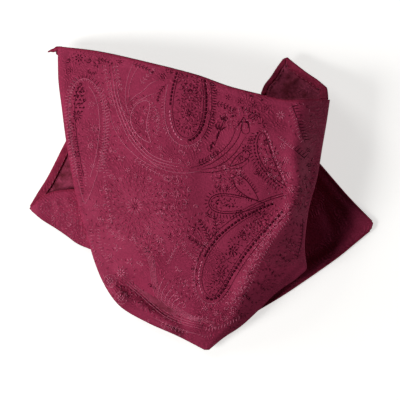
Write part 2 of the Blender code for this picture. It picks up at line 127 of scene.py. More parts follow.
# Front panel
# The big lit stretch, face up: a satin-ground jacquard of fine lustrous yarn, one layer of
# the hemmed cloth. It is folded under on the left and the right and is held by its own weight.
CLOTH = 0.45        # thickness of the cloth
WALL = 1.2          # thickness of one cloth wall of the CAD model
TUCK, TUCK_SHARE, TUCK_STEPS = 3.0, 0.08, 3     # the cloth tucked under a fold, in mm and as a share
ARC_STEPS = 12
LEFT, RIGHT = 0, 1
PANEL_ROWS, PANEL_COLUMNS = 176, 168
SECTION_LENGTH = 16.0     # cloth from one section to the next, near the top hem
SLANT_STEP, SLANT_LEAST = 0.4, 0.4     # sections either side, and how aslant a fold can be

# Sections of the panel from the top hem down to the folded point, as in the CAD model: the
# two folds, the radius and turn of each, and how far along its crown and its ridge are.
Section = namedtuple("Section", "left_x left_y left_z left_roll left_turn "
                                "right_x right_y right_z right_roll right_turn "
                                "crown_at crown_z ridge_at ridge_z")
PANEL = [
    Section(-95.2, 100.0, 9.5, 2.4, 180, 84.5, 64.5, 26.0, 3.0, 146, 0.46, 32.6, 0.88, 37.2),
    Section(-94.9, 81.5, 10.5, 2.6, 180, 82.5, 51.0, 27.5, 3.0, 146, 0.48, 33.6, 0.885, 39.0),
    Section(-92.2, 58.0, 12.0, 3.0, 180, 79.5, 34.0, 29.5, 3.0, 146, 0.50, 34.9, 0.885, 40.4),
    Section(-89.0, 34.5, 13.5, 3.0, 180, 76.0, 13.5, 31.0, 3.0, 146, 0.50, 36.5, 0.89, 39.5),
    Section(-84.8, 11.0, 14.5, 2.8, 180, 70.0, -10.0, 30.5, 3.0, 146, 0.52, 37.0, 0.91, 38.0),
    Section(-80.0, -10.5, 12.5, 2.4, 180, 68.0, -31.0, 25.0, 3.0, 150, 0.52, 36.0, 0.84, 37.0),
    Section(-75.0, -28.0, 10.5, 2.1, 180, 69.6, -45.6, 18.0, 3.0, 160, 0.51, 34.0, 0.77, 35.0),
    Section(-70.8, -42.5, 9.0, 2.2, 180, 64.4, -52.2, 12.5, 2.8, 172, 0.56, 30.2, 0.78, 31.5),
    Section(-65.0, -56.5, 8.2, 2.4, 180, 49.6, -63.0, 9.8, 2.5, 180, 0.64, 25.4, 0.80, 27.0),
    Section(-54.5, -71.5, 7.4, 2.3, 180, 37.6, -75.0, 8.0, 2.2, 180, 0.68, 19.2, 0.83, 20.4),
    Section(-36.5, -82.5, 6.6, 2.0, 160, 26.2, -85.4, 6.8, 2.0, 160, 0.66, 13.6, 0.84, 14.0),
    Section(-15.5, -91.9, 5.8, 1.4, 120, 15.0, -92.9, 5.8, 1.4, 120, 0.60, 9.0, 0.80, 9.0),
    Section(2.0, -101.0, 4.8, 0.7, 95, 5.2, -101.0, 4.8, 0.7, 95, 0.50, 5.0, 0.67, 5.0),
]
LAST = len(PANEL) - 1
# How far the top hem sinks below a straight line, at shares of its length, and over how many
# sections that fades out.
HEM_AT = [0.0, 0.16, 0.34, 0.51, 0.64, 0.73, 0.82, 0.89, 1.0]
HEM_DROP = [0.3, -1.3, 0.0, 2.0, 5.6, 6.5, 7.0, 4.9, 0.0]
HEM_FADE = 3.0
# The hollow beside the lower left fold: its sections, its place in from the fold and its depth.
HOLLOW_MIDDLE, HOLLOW_REACH = 9.4, 1.7
HOLLOW_IN, HOLLOW_HALF, HOLLOW_DEPTH = 12.0, 4.5, 1.8

# Creases of the panel: the line each follows, half its width and its height,
# below zero for a trough.
Crease = namedtuple("Crease", "line half height")
CREASES = [
    Crease([(55, 38), (64, 16), (64, 1), (56, -14), (41, -35), (34, -46), (25, -62), (17, -77)],
            5.0, 1.35),
    Crease([(42, 32), (51, 12), (49.5, 0), (39, -14), (25, -35), (18, -47), (9, -61)], 7.5, -1.0),
    Crease([(66.5, -36), (63, -44), (57, -50), (52, -56), (46, -61), (39, -67)], 2.4, 0.8),
    Crease([(20, 31), (34, 42), (47, 52)], 5.0, 0.6),
    Crease([(58, 66), (62, 46), (66, 26)], 6.0, 0.7),
    Crease([(-57, 88), (-54, 66), (-44, 46), (-30, 30)], 7.0, 0.5),
    Crease([(-70, 84), (-64, 52), (-60, 22), (-58, -6)], 8.0, -0.5),
    Crease([(-8, 78), (-6, 40), (-9, 2), (-12, -40)], 7.0, 0.55),
    Crease([(-62, -57), (-55, -62.5), (-47, -68), (-38, -74.5), (-27, -82), (-11, -91)], 4.6, 3.1),
    Crease([(-54, -47), (-46.5, -56), (-39.5, -62), (-31, -68.5), (-20, -75.5), (-3, -84)], 6.0, -3.5),
    Crease([(-42, -36), (-24, -52), (-4, -68)], 5.5, 0.5),
    Crease([(-8, 110), (-2, 30), (-1, -10), (-14, -90)], 21.0, -1.9),
    Crease([(74, 40), (70, 14), (66, -8)], 4.5, -0.7),
    Crease([(8, 60), (14, 34), (24, 14)], 6.0, -0.45),
    Crease([(-88, 150), (-80, 50), (-70, -50)], 24.0, 2.8),
    Crease([(-91, 97), (-89.5, 60), (-85.5, 25)], 2.2, 0.5),
]
CREASE_REACH, CREASE_FADE = 2.4, 1.6     # in half widths: to the side, and towards the ends
# The hem under the top edge, as it shows on the face: how deep it is, its swell and the dent
# along its seam.
HEM_SHOWS, HEM_SWELL, HEM_STEEP = 4.7, 0.4, 4
DENT_DEPTH, DENT_AT, DENT_HALF = 0.22, 0.3, 0.6
# The cloth's unevenness: the height and the length of its broad waves and of its fine ripple.
WAVE, WAVE_LENGTH = 0.22, 17
RIPPLE, RIPPLE_LENGTH = 0.035, 3.6


def hermite(a, b, slope_a, slope_b, span, t):
    """A cubic from a to b, with the slope at each end."""
    return (a * (2 * t ** 3 - 3 * t ** 2 + 1) + slope_a * ((t ** 3 - 2 * t ** 2 + t) * span)
            + b * (3 * t ** 2 - 2 * t ** 3) + slope_b * ((t ** 3 - t ** 2) * span))


def through(knots, values, at):
    """A smooth curve through values at knots, with no overshoot at level stretches."""
    last = len(knots) - 1
    at = min(max(at, knots[0]), knots[-1])
    i = next((k for k in range(last) if at <= knots[k + 1]), last - 1)
    slopes = [(values[k + 1] - values[k]) / (knots[k + 1] - knots[k]) for k in range(last)]

    def tangent(k):
        """The slope at a knot."""
        if k == 0:
            return slopes[0]
        if k == last:
            return slopes[-1]
        before, after = slopes[k - 1], slopes[k]
        if before * after <= 0:
            return 0.0
        return 2 * before * after / (before + after)

    step = knots[i + 1] - knots[i]
    return hermite(values[i], values[i + 1], tangent(i), tangent(i + 1), step, (at - knots[i]) / step)


def table_at(table, at):
    """A row of a table, read between its rows."""
    knots = list(range(len(table)))
    return type(table[0])(*(through(knots, column, at) for column in zip(*table)))


def spread(first, last, count):
    """Even steps from the first number to the last."""
    return [first + (last - first) * k / (count - 1) for k in range(count)]


def section_width(row):
    """How far apart the two folds of a section are."""
    return math.hypot(row.right_x - row.left_x, row.right_y - row.left_y)


def panel_height(row, section, along):
    """Height of the panel's upper side, a share of the way along a section."""
    height = through([0.0, row.crown_at, row.ridge_at, 1.0],
                     [row.left_z, row.crown_z, row.ridge_z, row.right_z], along)
    inward = along * section_width(row)
    hollow = math.exp(-((inward - HOLLOW_IN) / HOLLOW_HALF) ** 2)
    return height - HOLLOW_DEPTH * hollow * math.exp(-((section - HOLLOW_MIDDLE) / HOLLOW_REACH) ** 2)


def panel_place(row, section, along, height=None):
    """A point over a section of the panel: on its upper side, or at a given height."""
    x = row.left_x + along * (row.right_x - row.left_x)
    y = row.left_y + along * (row.right_y - row.left_y)
    y -= through(HEM_AT, HEM_DROP, along) * max(0.0, 1 - section / HEM_FADE)
    if height is None:
        height = panel_height(row, section, along)
    return Vector((x, y, height))


def panel_point(section, along, height=None):
    """The same point, with its row read from the table."""
    return panel_place(table_at(PANEL, section), section, along, height)


def fold_profile(section, side):
    """Points round a fold of the panel, as share along the section and height, from the top."""
    row = table_at(PANEL, section)
    before, after = (table_at(PANEL, min(max(section + step, 0), LAST))
                     for step in (-SLANT_STEP, SLANT_STEP))
    if side == LEFT:
        along = Vector((after.left_x - before.left_x, after.left_y - before.left_y)).normalized()
    else:
        along = Vector((after.right_x - before.right_x, after.right_y - before.right_y)).normalized()
    chord = Vector((row.right_x - row.left_x, row.right_y - row.left_y)).normalized()
    slant = 1 / max(abs(along.cross(chord)), SLANT_LEAST)
    width = section_width(row) / slant

    def height_at(inward):
        """Height of the panel, a way in from the fold."""
        share = inward / width
        return panel_height(row, section, share if side == LEFT else 1 - share)

    roll = row.left_roll if side == LEFT else row.right_roll
    turn = math.radians(row.left_turn if side == LEFT else row.right_turn)
    slope = math.atan2(height_at(roll + 1.0) - height_at(roll), 1.0)
    start = roll * (1 - math.sin(slope))
    centre = height_at(start) - roll * math.cos(slope)
    points = []
    for angle in spread(slope, turn, ARC_STEPS + 1):
        points.append((roll - roll * math.sin(angle), centre + roll * math.cos(angle)))
    last_in, last_up = points[-1]
    for tuck in spread(0.0, min(TUCK, TUCK_SHARE * width), TUCK_STEPS + 1)[1:]:
        points.append((last_in - tuck * math.cos(turn), last_up - tuck * math.sin(turn)))
    shares = [(inward / width if side == LEFT else 1 - inward / width, z) for inward, z in points]
    return shares, (points[-1][0] * slant, points[-1][1])


def curve(points, step=1.0):
    """A smooth line through points, at even steps."""
    places = [Vector(p) for p in points]
    knots = [0.0]
    for a, b in zip(places, places[1:]):
        knots.append(knots[-1] + (b - a).length)
    slopes = []
    for k in range(len(places)):
        a, b = max(k - 1, 0), min(k + 1, len(places) - 1)
        slopes.append((places[b] - places[a]) / (knots[b] - knots[a]))
    count = max(2, round(knots[-1] / step) + 1)
    line, i = [], 0
    for at in spread(0.0, knots[-1], count):
        while i < len(places) - 2 and at > knots[i + 1]:
            i += 1
        span = knots[i + 1] - knots[i]
        t = (at - knots[i]) / span
        line.append(hermite(places[i], places[i + 1], slopes[i], slopes[i + 1], span, t))
    return line


def near_line(x, y, line):
    """How far a place is from a line of points."""
    best = 1e9
    for a, b in zip(line, line[1:]):
        run_x, run_y = b.x - a.x, b.y - a.y
        t = ((x - a.x) * run_x + (y - a.y) * run_y) / (run_x * run_x + run_y * run_y)
        t = min(max(t, 0.0), 1.0)
        away = (x - a.x - t * run_x) ** 2 + (y - a.y - t * run_y) ** 2
        if away < best:
            best = away
    return math.sqrt(best)


def laid_creases(creases):
    """The creases with their lines made smooth, and the box that each can reach."""
    laid = []
    for crease in creases:
        line = curve(crease.line, 3.0)
        reach = CREASE_REACH * crease.half
        box = (min(p.x for p in line) - reach, max(p.x for p in line) + reach,
               min(p.y for p in line) - reach, max(p.y for p in line) + reach)
        laid.append((line, crease.half, crease.height, box))
    return laid


def crease_lift(laid, x, y):
    """How much the creases lift the cloth at a place; each fades out at its ends."""
    lift = 0.0
    for line, half, height, box in laid:
        if box[0] < x < box[1] and box[2] < y < box[3]:
            from_end = min(math.dist((x, y), line[0][:2]), math.dist((x, y), line[-1][:2]))
            fade = 1 - math.exp(-(from_end / (CREASE_FADE * half)) ** 2)
            lift += fade * height * math.exp(-(near_line(x, y, line) / half) ** 2)
    return lift


def uneven(x, y, seed):
    """The cloth's own unevenness: broad soft waves and a finer ripple."""
    return (WAVE * noise.noise(Vector((x / WAVE_LENGTH, y / WAVE_LENGTH, seed)))
            + RIPPLE * noise.noise(Vector((x / RIPPLE_LENGTH, y / RIPPLE_LENGTH, seed + 5))))


def mesh_object(name, verts, faces, material):
    """A mesh of points in millimetres as a smooth object at the origin, with a map in metres."""
    mesh = bpy.data.meshes.new(name)
    mesh.from_pydata([tuple(c * MM for c in v) for v in verts], [], faces)
    mesh.materials.append(material)
    mesh.shade_smooth()
    grain = mesh.uv_layers.new(name="grain")
    for loop, corner in enumerate(mesh.loops):
        place = mesh.vertices[corner.vertex_index].co
        grain.data[loop].uv = (place.x, place.y)
    made = bpy.data.objects.new(name, mesh)
    bpy.context.scene.collection.objects.link(made)
    return made


def grid_faces(rows):
    """Faces of a grid whose rows go down the page and whose points run to the right."""
    across = len(rows[0])
    return [(i * across + j, (i + 1) * across + j, (i + 1) * across + j + 1, i * across + j + 1)
            for i in range(len(rows) - 1) for j in range(across - 1)]


def shell(name, rows, material, thickness=CLOTH):
    """Cloth over a grid of points on its upper side, thickened downwards."""
    made = mesh_object(name, [p for row in rows for p in row], grid_faces(rows), material)
    thick = made.modifiers.new("Cloth", "SOLIDIFY")
    thick.thickness = thickness * MM
    thick.offset = -1.0
    return made


def placed(obj, slot, *nodes):
    """Lets a piece ride the one body and stands it for its CAD nodes; the slot is not used."""
    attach(obj, "root")
    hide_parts(*nodes)
    return obj


def noise_value(tree, place, scale, detail, rough=0.5):
    """The value of a noise pattern."""
    values = {"Scale": scale, "Detail": detail, "Roughness": rough}
    return node(tree, "ShaderNodeTexNoise", values, {"Vector": place}).outputs["Fac"]


def wave_value(tree, place, direction, scale, distortion, detail_scale):
    """The value of a pattern of distorted bands."""
    values = {"Scale": scale, "Distortion": distortion, "Detail": 1.0, "Detail Scale": detail_scale}
    return node(tree, "ShaderNodeTexWave", values, {"Vector": place},
                wave_type="BANDS", bands_direction=direction).outputs["Fac"]


def mapped(tree, value, low, high, to_low=0.0, to_high=1.0):
    """A value mapped from one range to another, and held inside it."""
    values = {"From Min": low, "From Max": high, "To Min": to_low, "To Max": to_high}
    return node(tree, "ShaderNodeMapRange", values, {"Value": value}).outputs["Result"]


def maths(tree, operation, values, links):
    """The result of one step of arithmetic."""
    return node(tree, "ShaderNodeMath", values, links, operation=operation).outputs[0]


# Scales are in waves to the metre. Yarns lie about 0.2 mm apart; the grain is drawn at 1 mm, so
# that it holds at this distance.
GRAIN_SCALE, GRAIN_LOW, GRAIN_HIGH = 900.0, 0.82, 1.17
# Small filling of the figure between its motifs: patches of short curling strokes, 2 mm apart.
STROKE_SCALE, STROKE_CURL = 190.0, 14.0
BREAK_SCALE, BREAK_CURL = 120.0, 18.0
PATCH_SCALE, PATCH_LEAST = 46.0, 0.12
STROKE_LEVEL, STROKE_TONE, STROKE_RELIEF = -0.3, 0.42, 1.1
RELIEF_HEIGHT = 0.00028     # in metres
SHEEN_TINT = "F2A6BA"


def satin(name, tone, dark, blotch, specular, roughness, relief):
    """A figured satin: two close tones in soft blotches, with the relief of its small weave."""
    made, tree = new_material(name)
    place = node(tree, "ShaderNodeTexCoord").outputs["Object"]
    blotches = mapped(tree, noise_value(tree, place, blotch, 3.0, 0.6), 0.35, 0.65)
    colour = node(tree, "ShaderNodeMix", {6: linear(tone), 7: linear(dark)}, {0: blotches},
                  data_type="RGBA").outputs[2]
    yarns = noise_value(tree, place, GRAIN_SCALE, 2.0, 0.7)
    grain_tone = mapped(tree, yarns, 0.3, 0.7, GRAIN_LOW, GRAIN_HIGH)
    lines = wave_value(tree, place, "DIAGONAL", STROKE_SCALE, STROKE_CURL, 0.8)
    breaks = wave_value(tree, place, "Y", BREAK_SCALE, BREAK_CURL, 1.1)
    hatch = maths(tree, "MULTIPLY", None, {0: lines, 1: breaks})
    patches = mapped(tree, noise_value(tree, place, PATCH_SCALE, 2.0), 0.44, 0.56, PATCH_LEAST)
    raised = maths(tree, "ADD", {1: STROKE_LEVEL}, {0: hatch})
    shown = maths(tree, "MULTIPLY", None, {0: raised, 1: patches})
    hatch_tone = maths(tree, "MULTIPLY_ADD", {1: STROKE_TONE, 2: 1.0}, {0: shown})
    both = maths(tree, "MULTIPLY", None, {0: grain_tone, 1: hatch_tone})
    toned = node(tree, "ShaderNodeVectorMath", links={0: colour, "Scale": both}, operation="SCALE")
    heights = maths(tree, "MULTIPLY_ADD", {1: STROKE_RELIEF}, {0: shown, 2: yarns})
    bump = node(tree, "ShaderNodeBump", {"Strength": relief, "Distance": RELIEF_HEIGHT},
                {"Height": heights})
    grain = node(tree, "ShaderNodeTangent", direction_type="UV_MAP", uv_map="grain")
    shade = node(tree, "ShaderNodeBsdfPrincipled",
                 {"Roughness": roughness, "Specular IOR Level": specular,
                  "Specular Tint": linear(SHEEN_TINT), "Anisotropic": 0.4},
                 {"Base Color": toned.outputs[0], "Normal": bump.outputs[0], "Tangent": grain.outputs[0]})
    node(tree, "ShaderNodeOutputMaterial", links={"Surface": shade.outputs[0]})
    return made


# Satin face: lustrous, smooth rose-burgundy yarn.
face_material = satin("satin_face", "B23B5E", "A63455", 46.0, 0.16, 0.5, 0.9)


def panel_rows(rows, columns):
    """Grid of the panel's upper side, with its rolled folds."""
    laid = laid_creases(CREASES)
    grid = []
    for section in spread(0.0, LAST, rows):
        row = table_at(PANEL, section)
        left, _ = fold_profile(section, LEFT)
        right, _ = fold_profile(section, RIGHT)
        depth = section * SECTION_LENGTH
        line = [panel_place(row, section, share, z) for share, z in reversed(left)]
        line += [panel_place(row, section, share)
                 for share in spread(left[0][0], right[0][0], columns)[1:-1]]
        line += [panel_place(row, section, share, z) for share, z in right]
        ends = len(left) - 1
        for k, point in enumerate(line):
            from_end = min(k, len(line) - 1 - k)
            hold = min(1.0, max(0.0, (from_end - TUCK_STEPS) / (ends - TUCK_STEPS)))
            lift = crease_lift(laid, point.x, point.y) + uneven(point.x, point.y, 1.0)
            if depth < HEM_SHOWS + 3:
                lift += HEM_SWELL / (1 + math.exp((depth - HEM_SHOWS) * HEM_STEEP))
                lift -= DENT_DEPTH * math.exp(-((depth - HEM_SHOWS - DENT_AT) / DENT_HALF) ** 2)
            point.z += lift * hold
        grid.append(line)
    return grid


front_rows = panel_rows(PANEL_ROWS, PANEL_COLUMNS)
front_cloth = shell("front_panel_cloth", front_rows, face_material)
placed(front_cloth, "satin_face", "front_panel")

# Top hem
# The cloth's edge from A to B, turned to the reverse and pressed. From above only its rolled
# rim shows; the rest lies under the panel, 5 mm deep.
STEP_ACROSS, STEP_ALONG = 0.01, 0.05     # short steps on a surface, to find its directions
HEM_SHARE_MOST = 0.44                    # of a row, where it narrows to a corner
PUCKER, TOP_PUCKER = 0.16, 0.2           # how much the stitches make a hem's height vary
# Turned hem: the same cloth doubled and pressed, duller than the face.
hem_material = satin("satin_hem", "AC3454", "932745", 160.0, 0.2, 0.6, 0.7)


def recalculated(made):
    """Turns a closed piece's faces outwards."""
    shape = bmesh.new()
    shape.from_mesh(made.data)
    bmesh.ops.recalc_face_normals(shape, faces=shape.faces)
    shape.to_mesh(made.data)
    shape.free()
    return made


def bar_faces(start, rings, count):
    """Faces of a closed bar through rings of points, from a given vertex on."""
    faces = [tuple(start + k for k in reversed(range(count)))]
    for i in range(rings - 1):
        for j in range(count):
            a, b = start + i * count + j, start + i * count + (j + 1) % count
            faces.append((a, b, b + count, a + count))
    faces.append(tuple(range(start + (rings - 1) * count, start + rings * count)))
    return faces


def lofted(name, rings, material):
    """A closed piece through rings of equal length."""
    verts = [p for ring in rings for p in ring]
    return recalculated(mesh_object(name, verts, bar_faces(0, len(rings), len(rings[0])), material))


def upward_normal(point_at, at, across):
    """The normal of a surface of points, on its upper side."""
    down = point_at(at + STEP_ACROSS, across) - point_at(at - STEP_ACROSS, across)
    right = point_at(at, across + STEP_ACROSS) - point_at(at, across - STEP_ACROSS)
    normal = down.cross(right).normalized()
    return normal if normal.z > 0 else -normal


def edge_run(point_at, at, from_edge):
    """The direction in which an edge of a cloth runs."""
    return (point_at(at + STEP_ALONG, from_edge) - point_at(at - STEP_ALONG, from_edge)).normalized()


def share_across(point_at, at, from_edge, width):
    """The share of a row that a true width takes, measured square to its edge."""
    inward = STEP_ACROSS if from_edge == 0 else -STEP_ACROSS
    across = point_at(at, from_edge + inward) - point_at(at, from_edge)
    square = across.cross(edge_run(point_at, at, from_edge)).length
    return min(width * STEP_ACROSS / square, HEM_SHARE_MOST)


def edge_frame(point_at, at, from_edge):
    """At an edge of a cloth: the direction out of it, and the upward normal there."""
    inward = 2 * STEP_ACROSS if from_edge == 0 else -2 * STEP_ACROSS
    along = edge_run(point_at, at, from_edge)
    out = point_at(at, from_edge) - point_at(at, from_edge + inward)
    out = (out - along * out.dot(along)).normalized()
    return out, upward_normal(point_at, at, from_edge)


# Profile of a turned hem: how far in from the edge, and how high over the cloth's upper side
# when it is turned upwards. The first points wrap the edge.
HEM_PROFILE = [(0.2, -0.75), (-0.35, -0.55), (-0.62, -0.1), (-0.55, 0.42), (-0.15, 0.78),
               (0.7, 0.95), (1.9, 0.9), (3.2, 0.85), (4.3, 0.78), (4.9, 0.5), (5.0, 0.08), (2.5, -0.02)]
HEM_UNDER = [(inward, -CLOTH - height) for inward, height in HEM_PROFILE]


def turned_hem(cad, point_at, stations, from_edge, profile):
    """A hem along one edge of a cloth, wrapped round it, a little puckered by its stitches."""
    rings = []
    for k, at in enumerate(stations):
        out, up = edge_frame(point_at, at, from_edge)
        ring = []
        for inward, height in profile:
            share = share_across(point_at, at, from_edge, max(inward, 0.0))
            across = share if from_edge == 0 else 1 - share
            point = point_at(at, across)
            pucker = 1 + PUCKER * noise.noise(Vector((k * 0.55, inward * 0.4, 3.0)))
            point = point + up * height * pucker + out * max(-inward, 0.0)
            ring.append(point)
        rings.append(ring)
    placed(lofted(cad + "_turned", rings, hem_material), "satin_hem", cad)


# Rim of the top hem: it wraps the panel's edge and lies under the panel. It starts and ends
# where the panel's arcs begin, in the two folds.
TOP_PROFILE = [(4.9, -0.75), (4.0, -1.5), (2.0, -1.7), (0.4, -1.75), (-0.4, -1.55), (-0.9, -0.95),
               (-0.75, -0.3), (-0.25, 0.1), (0.5, 0.26), (0.8, -0.1), (0.4, -0.5), (2.0, -0.62)]
top_rings = []
for column in range(ARC_STEPS - 4, len(front_rows[0]) - ARC_STEPS - 2, 2):
    edge_point = front_rows[0][column]
    inner = front_rows[2][column] - edge_point
    run = front_rows[0][column + 1] - front_rows[0][column - 1]
    out = -(inner - run * (inner.dot(run) / run.length_squared)).normalized()
    up = out.cross(run).normalized()
    up = up if up.z > 0 else -up
    pucker = 1 + TOP_PUCKER * noise.noise(Vector((edge_point.x / 4.5, 0.0, 7.0)))
    top_rings.append([edge_point - out * inward + up * height * pucker for inward, height in TOP_PROFILE])
top_hem = lofted("hem_front_turned", top_rings, hem_material)
placed(top_hem, "satin_hem", "hem_front")

# Back fold and corner B
# The stretch that turns under at the right fold and comes back, reverse side up. Corner B of
# the cloth stands free above the top hem, with its two hems turned to this side and stitched.
BackRow = namedtuple("BackRow", "outer_x outer_y outer_z inner_x inner_y inner_z")
BACK_FREE = [
    BackRow(56.7, 93.0, 7.5, 55.0, 92.8, 7.2),
    BackRow(63.0, 87.8, 9.5, 50.6, 86.8, 6.0),
    BackRow(69.5, 82.6, 12.0, 46.6, 80.7, 5.2),
    BackRow(76.5, 77.6, 15.0, 42.0, 74.6, 4.6),
    BackRow(82.2, 72.6, 18.0, 40.0, 69.8, 4.0),
]
BACK_LAST = 6.82                  # the section of the panel that the back fold runs down to
FOOT_X, FOOT_Z = 40.5, 2.6        # where its hidden end lies
SEAM, BACK_SAG = 0.7, 0.08        # room between the plies, and how much a row sags
BACK_BULGE = 3.6                  # how far it swells out where it enters the fold
BACK_EVEN, BACK_HOLD = 1.6, 8     # its waves are finer than the panel's, and end at its edges
# Satin reverse: the dull side, darker, with the ends of the figure's yarns showing.
reverse_material = satin("satin_reverse", "B84A6A", "7E2C3D", 150.0, 0.15, 0.7, 0.6)
BACK_CREASES = laid_creases([
    Crease([(58, 74), (64, 80), (68, 82)], 1.5, 0.7),
    Crease([(50, 76), (58, 79), (63, 84)], 2.2, -0.55),
    Crease([(66, 70), (71, 74), (77, 75)], 1.8, 0.5),
    Crease([(55, 87), (58, 80), (58, 72)], 1.6, 0.4),
    Crease([(70, 66), (76, 70)], 1.6, -0.5),
])


def back_ends(at):
    """Outer and inner end of a row of the back fold: free rows first, then the panel's sections."""
    free = len(BACK_FREE) - 1
    if at <= free:
        row = table_at(BACK_FREE, at)
        return (Vector((row.outer_x, row.outer_y, row.outer_z)),
                Vector((row.inner_x, row.inner_y, row.inner_z)))
    section = max(0.0, at - free - 1)
    row = table_at(PANEL, section)
    _, (inward, height) = fold_profile(section, RIGHT)
    foot = (FOOT_X - row.left_x) / (row.right_x - row.left_x)
    turn = math.radians(row.right_turn)
    inward += -math.cos(turn) * SEAM + math.sin(turn) * WALL
    height += -math.sin(turn) * SEAM - math.cos(turn) * WALL
    outer = panel_place(row, section, 1 - inward / section_width(row), height)
    inner = panel_place(row, section, foot, FOOT_Z)
    if at < free + 1:
        above_outer, above_inner = back_ends(free)
        blend = at - free
        corner = above_outer.lerp(outer, blend)
        corner.x += BACK_BULGE * blend ** 0.8 * (1 - blend ** 30)
        return corner, above_inner.lerp(inner, blend)
    return outer, inner


def back_place(ends, across):
    """A point between the two ends of a row, which sags a little."""
    outer, inner = ends
    point = inner.lerp(outer, across)
    point.z -= BACK_SAG * (outer.z - inner.z) * math.sin(math.pi * across)
    return point


def back_point(at, across):
    """A point of the back fold, from its foot across to its outer edge."""
    return back_place(back_ends(at), across)


def back_row(at):
    """A row of the back fold's cloth, with its creases."""
    ends = back_ends(at)
    line = []
    for across in spread(0.0, 1.0, 60):
        point = back_place(ends, across)
        hold = min(1.0, across * BACK_HOLD, (1 - across) * BACK_HOLD)
        point.z += (crease_lift(BACK_CREASES, point.x, point.y)
                    + uneven(point.x * BACK_EVEN, point.y * BACK_EVEN, 11.0)) * hold
        line.append(point)
    return line


back_at = spread(0.0, 4.99, 70) + spread(5.15, len(BACK_FREE) + BACK_LAST, 90)
back_cloth = shell("back_fold_cloth", [back_row(at) for at in back_at], reverse_material)
placed(back_cloth, "satin_reverse", "back_fold")
turned_hem("hem_b_long", back_point, spread(0.0, 4.87, 105), 1, HEM_PROFILE)
# The short hem is pressed flatter and narrower, where it goes down behind the panel.
HEM_PRESSED = [(inward * 0.6, height * 0.4) for inward, height in HEM_PROFILE]
turned_hem("hem_b_short", back_point, spread(0.1, 4.2, 88), 0, HEM_PRESSED)

# Running stitches along the inner edge of a hem: fine thread, sunk at both ends.
thread_material, tree = new_material("stitch_thread")
shade = node(tree, "ShaderNodeBsdfPrincipled",
             {"Base Color": linear("B14A66"), "Roughness": 0.5, "Specular IOR Level": 0.3})
node(tree, "ShaderNodeOutputMaterial", links={"Surface": shade.outputs[0]})
STITCH, STITCH_GAP, STITCH_HALF = 2.1, 1.2, 0.24
STITCH_IN = 4.2
STITCH_FLAT, STITCH_SIDES, STITCH_STEP = 0.8, 6, 0.02
STITCH_SHAPE = [(0.0, -0.1), (0.15, 0.22), (0.5, 0.32), (0.85, 0.22), (1.0, -0.1)]


def stitch_line(name, point_at, first, last, from_edge, lift):
    """Stitches along a hem, joined in one mesh."""
    def seam_point(at, rise):
        """A point over the hem's seam."""
        share = share_across(point_at, at, from_edge, STITCH_IN)
        across = share if from_edge == 0 else 1 - share
        return point_at(at, across) + upward_normal(point_at, at, across) * rise

    verts, faces = [], []
    at = first
    while at < last:
        pace = (seam_point(at + STITCH_STEP, 0) - seam_point(at, 0)).length / STITCH_STEP
        end = at + STITCH / pace
        faces += bar_faces(len(verts), len(STITCH_SHAPE), STITCH_SIDES)
        for share, height in STITCH_SHAPE:
            here = at + (end - at) * share
            middle = seam_point(here, lift + height)
            along = (seam_point(here + 0.5 * STITCH_STEP, lift + height) - middle).normalized()
            side = along.cross(Vector((0, 0, 1))).normalized()
            up = side.cross(along).normalized() * STITCH_FLAT
            for turn in range(STITCH_SIDES):
                angle = turn * 2 * math.pi / STITCH_SIDES
                verts.append(middle + (side * math.cos(angle) + up * math.sin(angle)) * STITCH_HALF)
        at = end + STITCH_GAP / pace
    return recalculated(mesh_object(name, verts, faces, thread_material))


for name, from_edge, lift in (("stitches_b_long", 1, 0.78), ("stitches_b_short", 0, 0.3)):
    placed(stitch_line(name, back_point, 0.7, 4.1, from_edge, lift), "satin_hem")

# Flap C
# The low stretch on the right, face up on the table and deep in the panel's shadow. Its two
# hems are turned under, so the rim stands a little proud over them.
EdgePair = namedtuple("EdgePair", "upper_x upper_y lower_x lower_y")
FLAP_C = [
    EdgePair(114.6, -16.6, 113.4, -20.6),
    EdgePair(106.0, -8.0, 103.0, -29.2),
    EdgePair(97.0, 1.4, 91.8, -38.4),
    EdgePair(79.0, 22.2, 69.2, -54.4),
    EdgePair(60.0, 43.6, 54.0, -64.6),
    EdgePair(40.0, 66.0, 34.0, -76.6),
]
FLAP_REST = WALL     # the upper side of a flap that lies on the table
RIM_RAISED, RIM_FLAT, RIM_FADE, RIM_SLANT = 1.0, 4.6, 11.0, 0.75
C_DEEPEST, C_HOLD = -0.4, 6     # its troughs stay off the table, and end at its edges
C_CREASES = laid_creases([
    Crease([(70, 12), (88, -4), (104, -16)], 7.0, 0.3),
    Crease([(66, -30), (84, -26), (100, -24)], 6.0, 0.4),
    Crease([(78, 2), (86, -18), (90, -32)], 3.5, -0.45),
])


def flap_c_point(at, across):
    """A point of flap C, from its lower hem across to its upper one."""
    row = table_at(FLAP_C, at)
    lower = Vector((row.lower_x, row.lower_y, 0.0))
    upper = Vector((row.upper_x, row.upper_y, 0.0))
    point = lower.lerp(upper, across)
    inward = min(across, 1 - across) * (upper - lower).length * RIM_SLANT
    fade = min(max((inward - RIM_FLAT) / (RIM_FADE - RIM_FLAT), 0.0), 1.0)
    point.z = FLAP_REST + RIM_RAISED * (1 - fade * fade * (3 - 2 * fade))
    return point


c_rows = []
for across in spread(1.0, 0.0, 90):
    line = []
    for at in spread(len(FLAP_C) - 1, 0.0, 110):
        point = flap_c_point(at, across)
        hold = min(1.0, min(across, 1 - across) * C_HOLD)
        crease = max(crease_lift(C_CREASES, point.x, point.y), C_DEEPEST)
        point.z += (crease + abs(uneven(point.x, point.y, 21.0))) * hold
        line.append(point)
    c_rows.append(line)
c_cloth = shell("flap_c_cloth", c_rows, face_material)
placed(c_cloth, "satin_face", "flap_c")
for cad, from_edge in (("hem_c_upper", 1), ("hem_c_lower", 0)):
    turned_hem(cad, flap_c_point, spread(0.12, 4.95, 100), from_edge, HEM_UNDER)

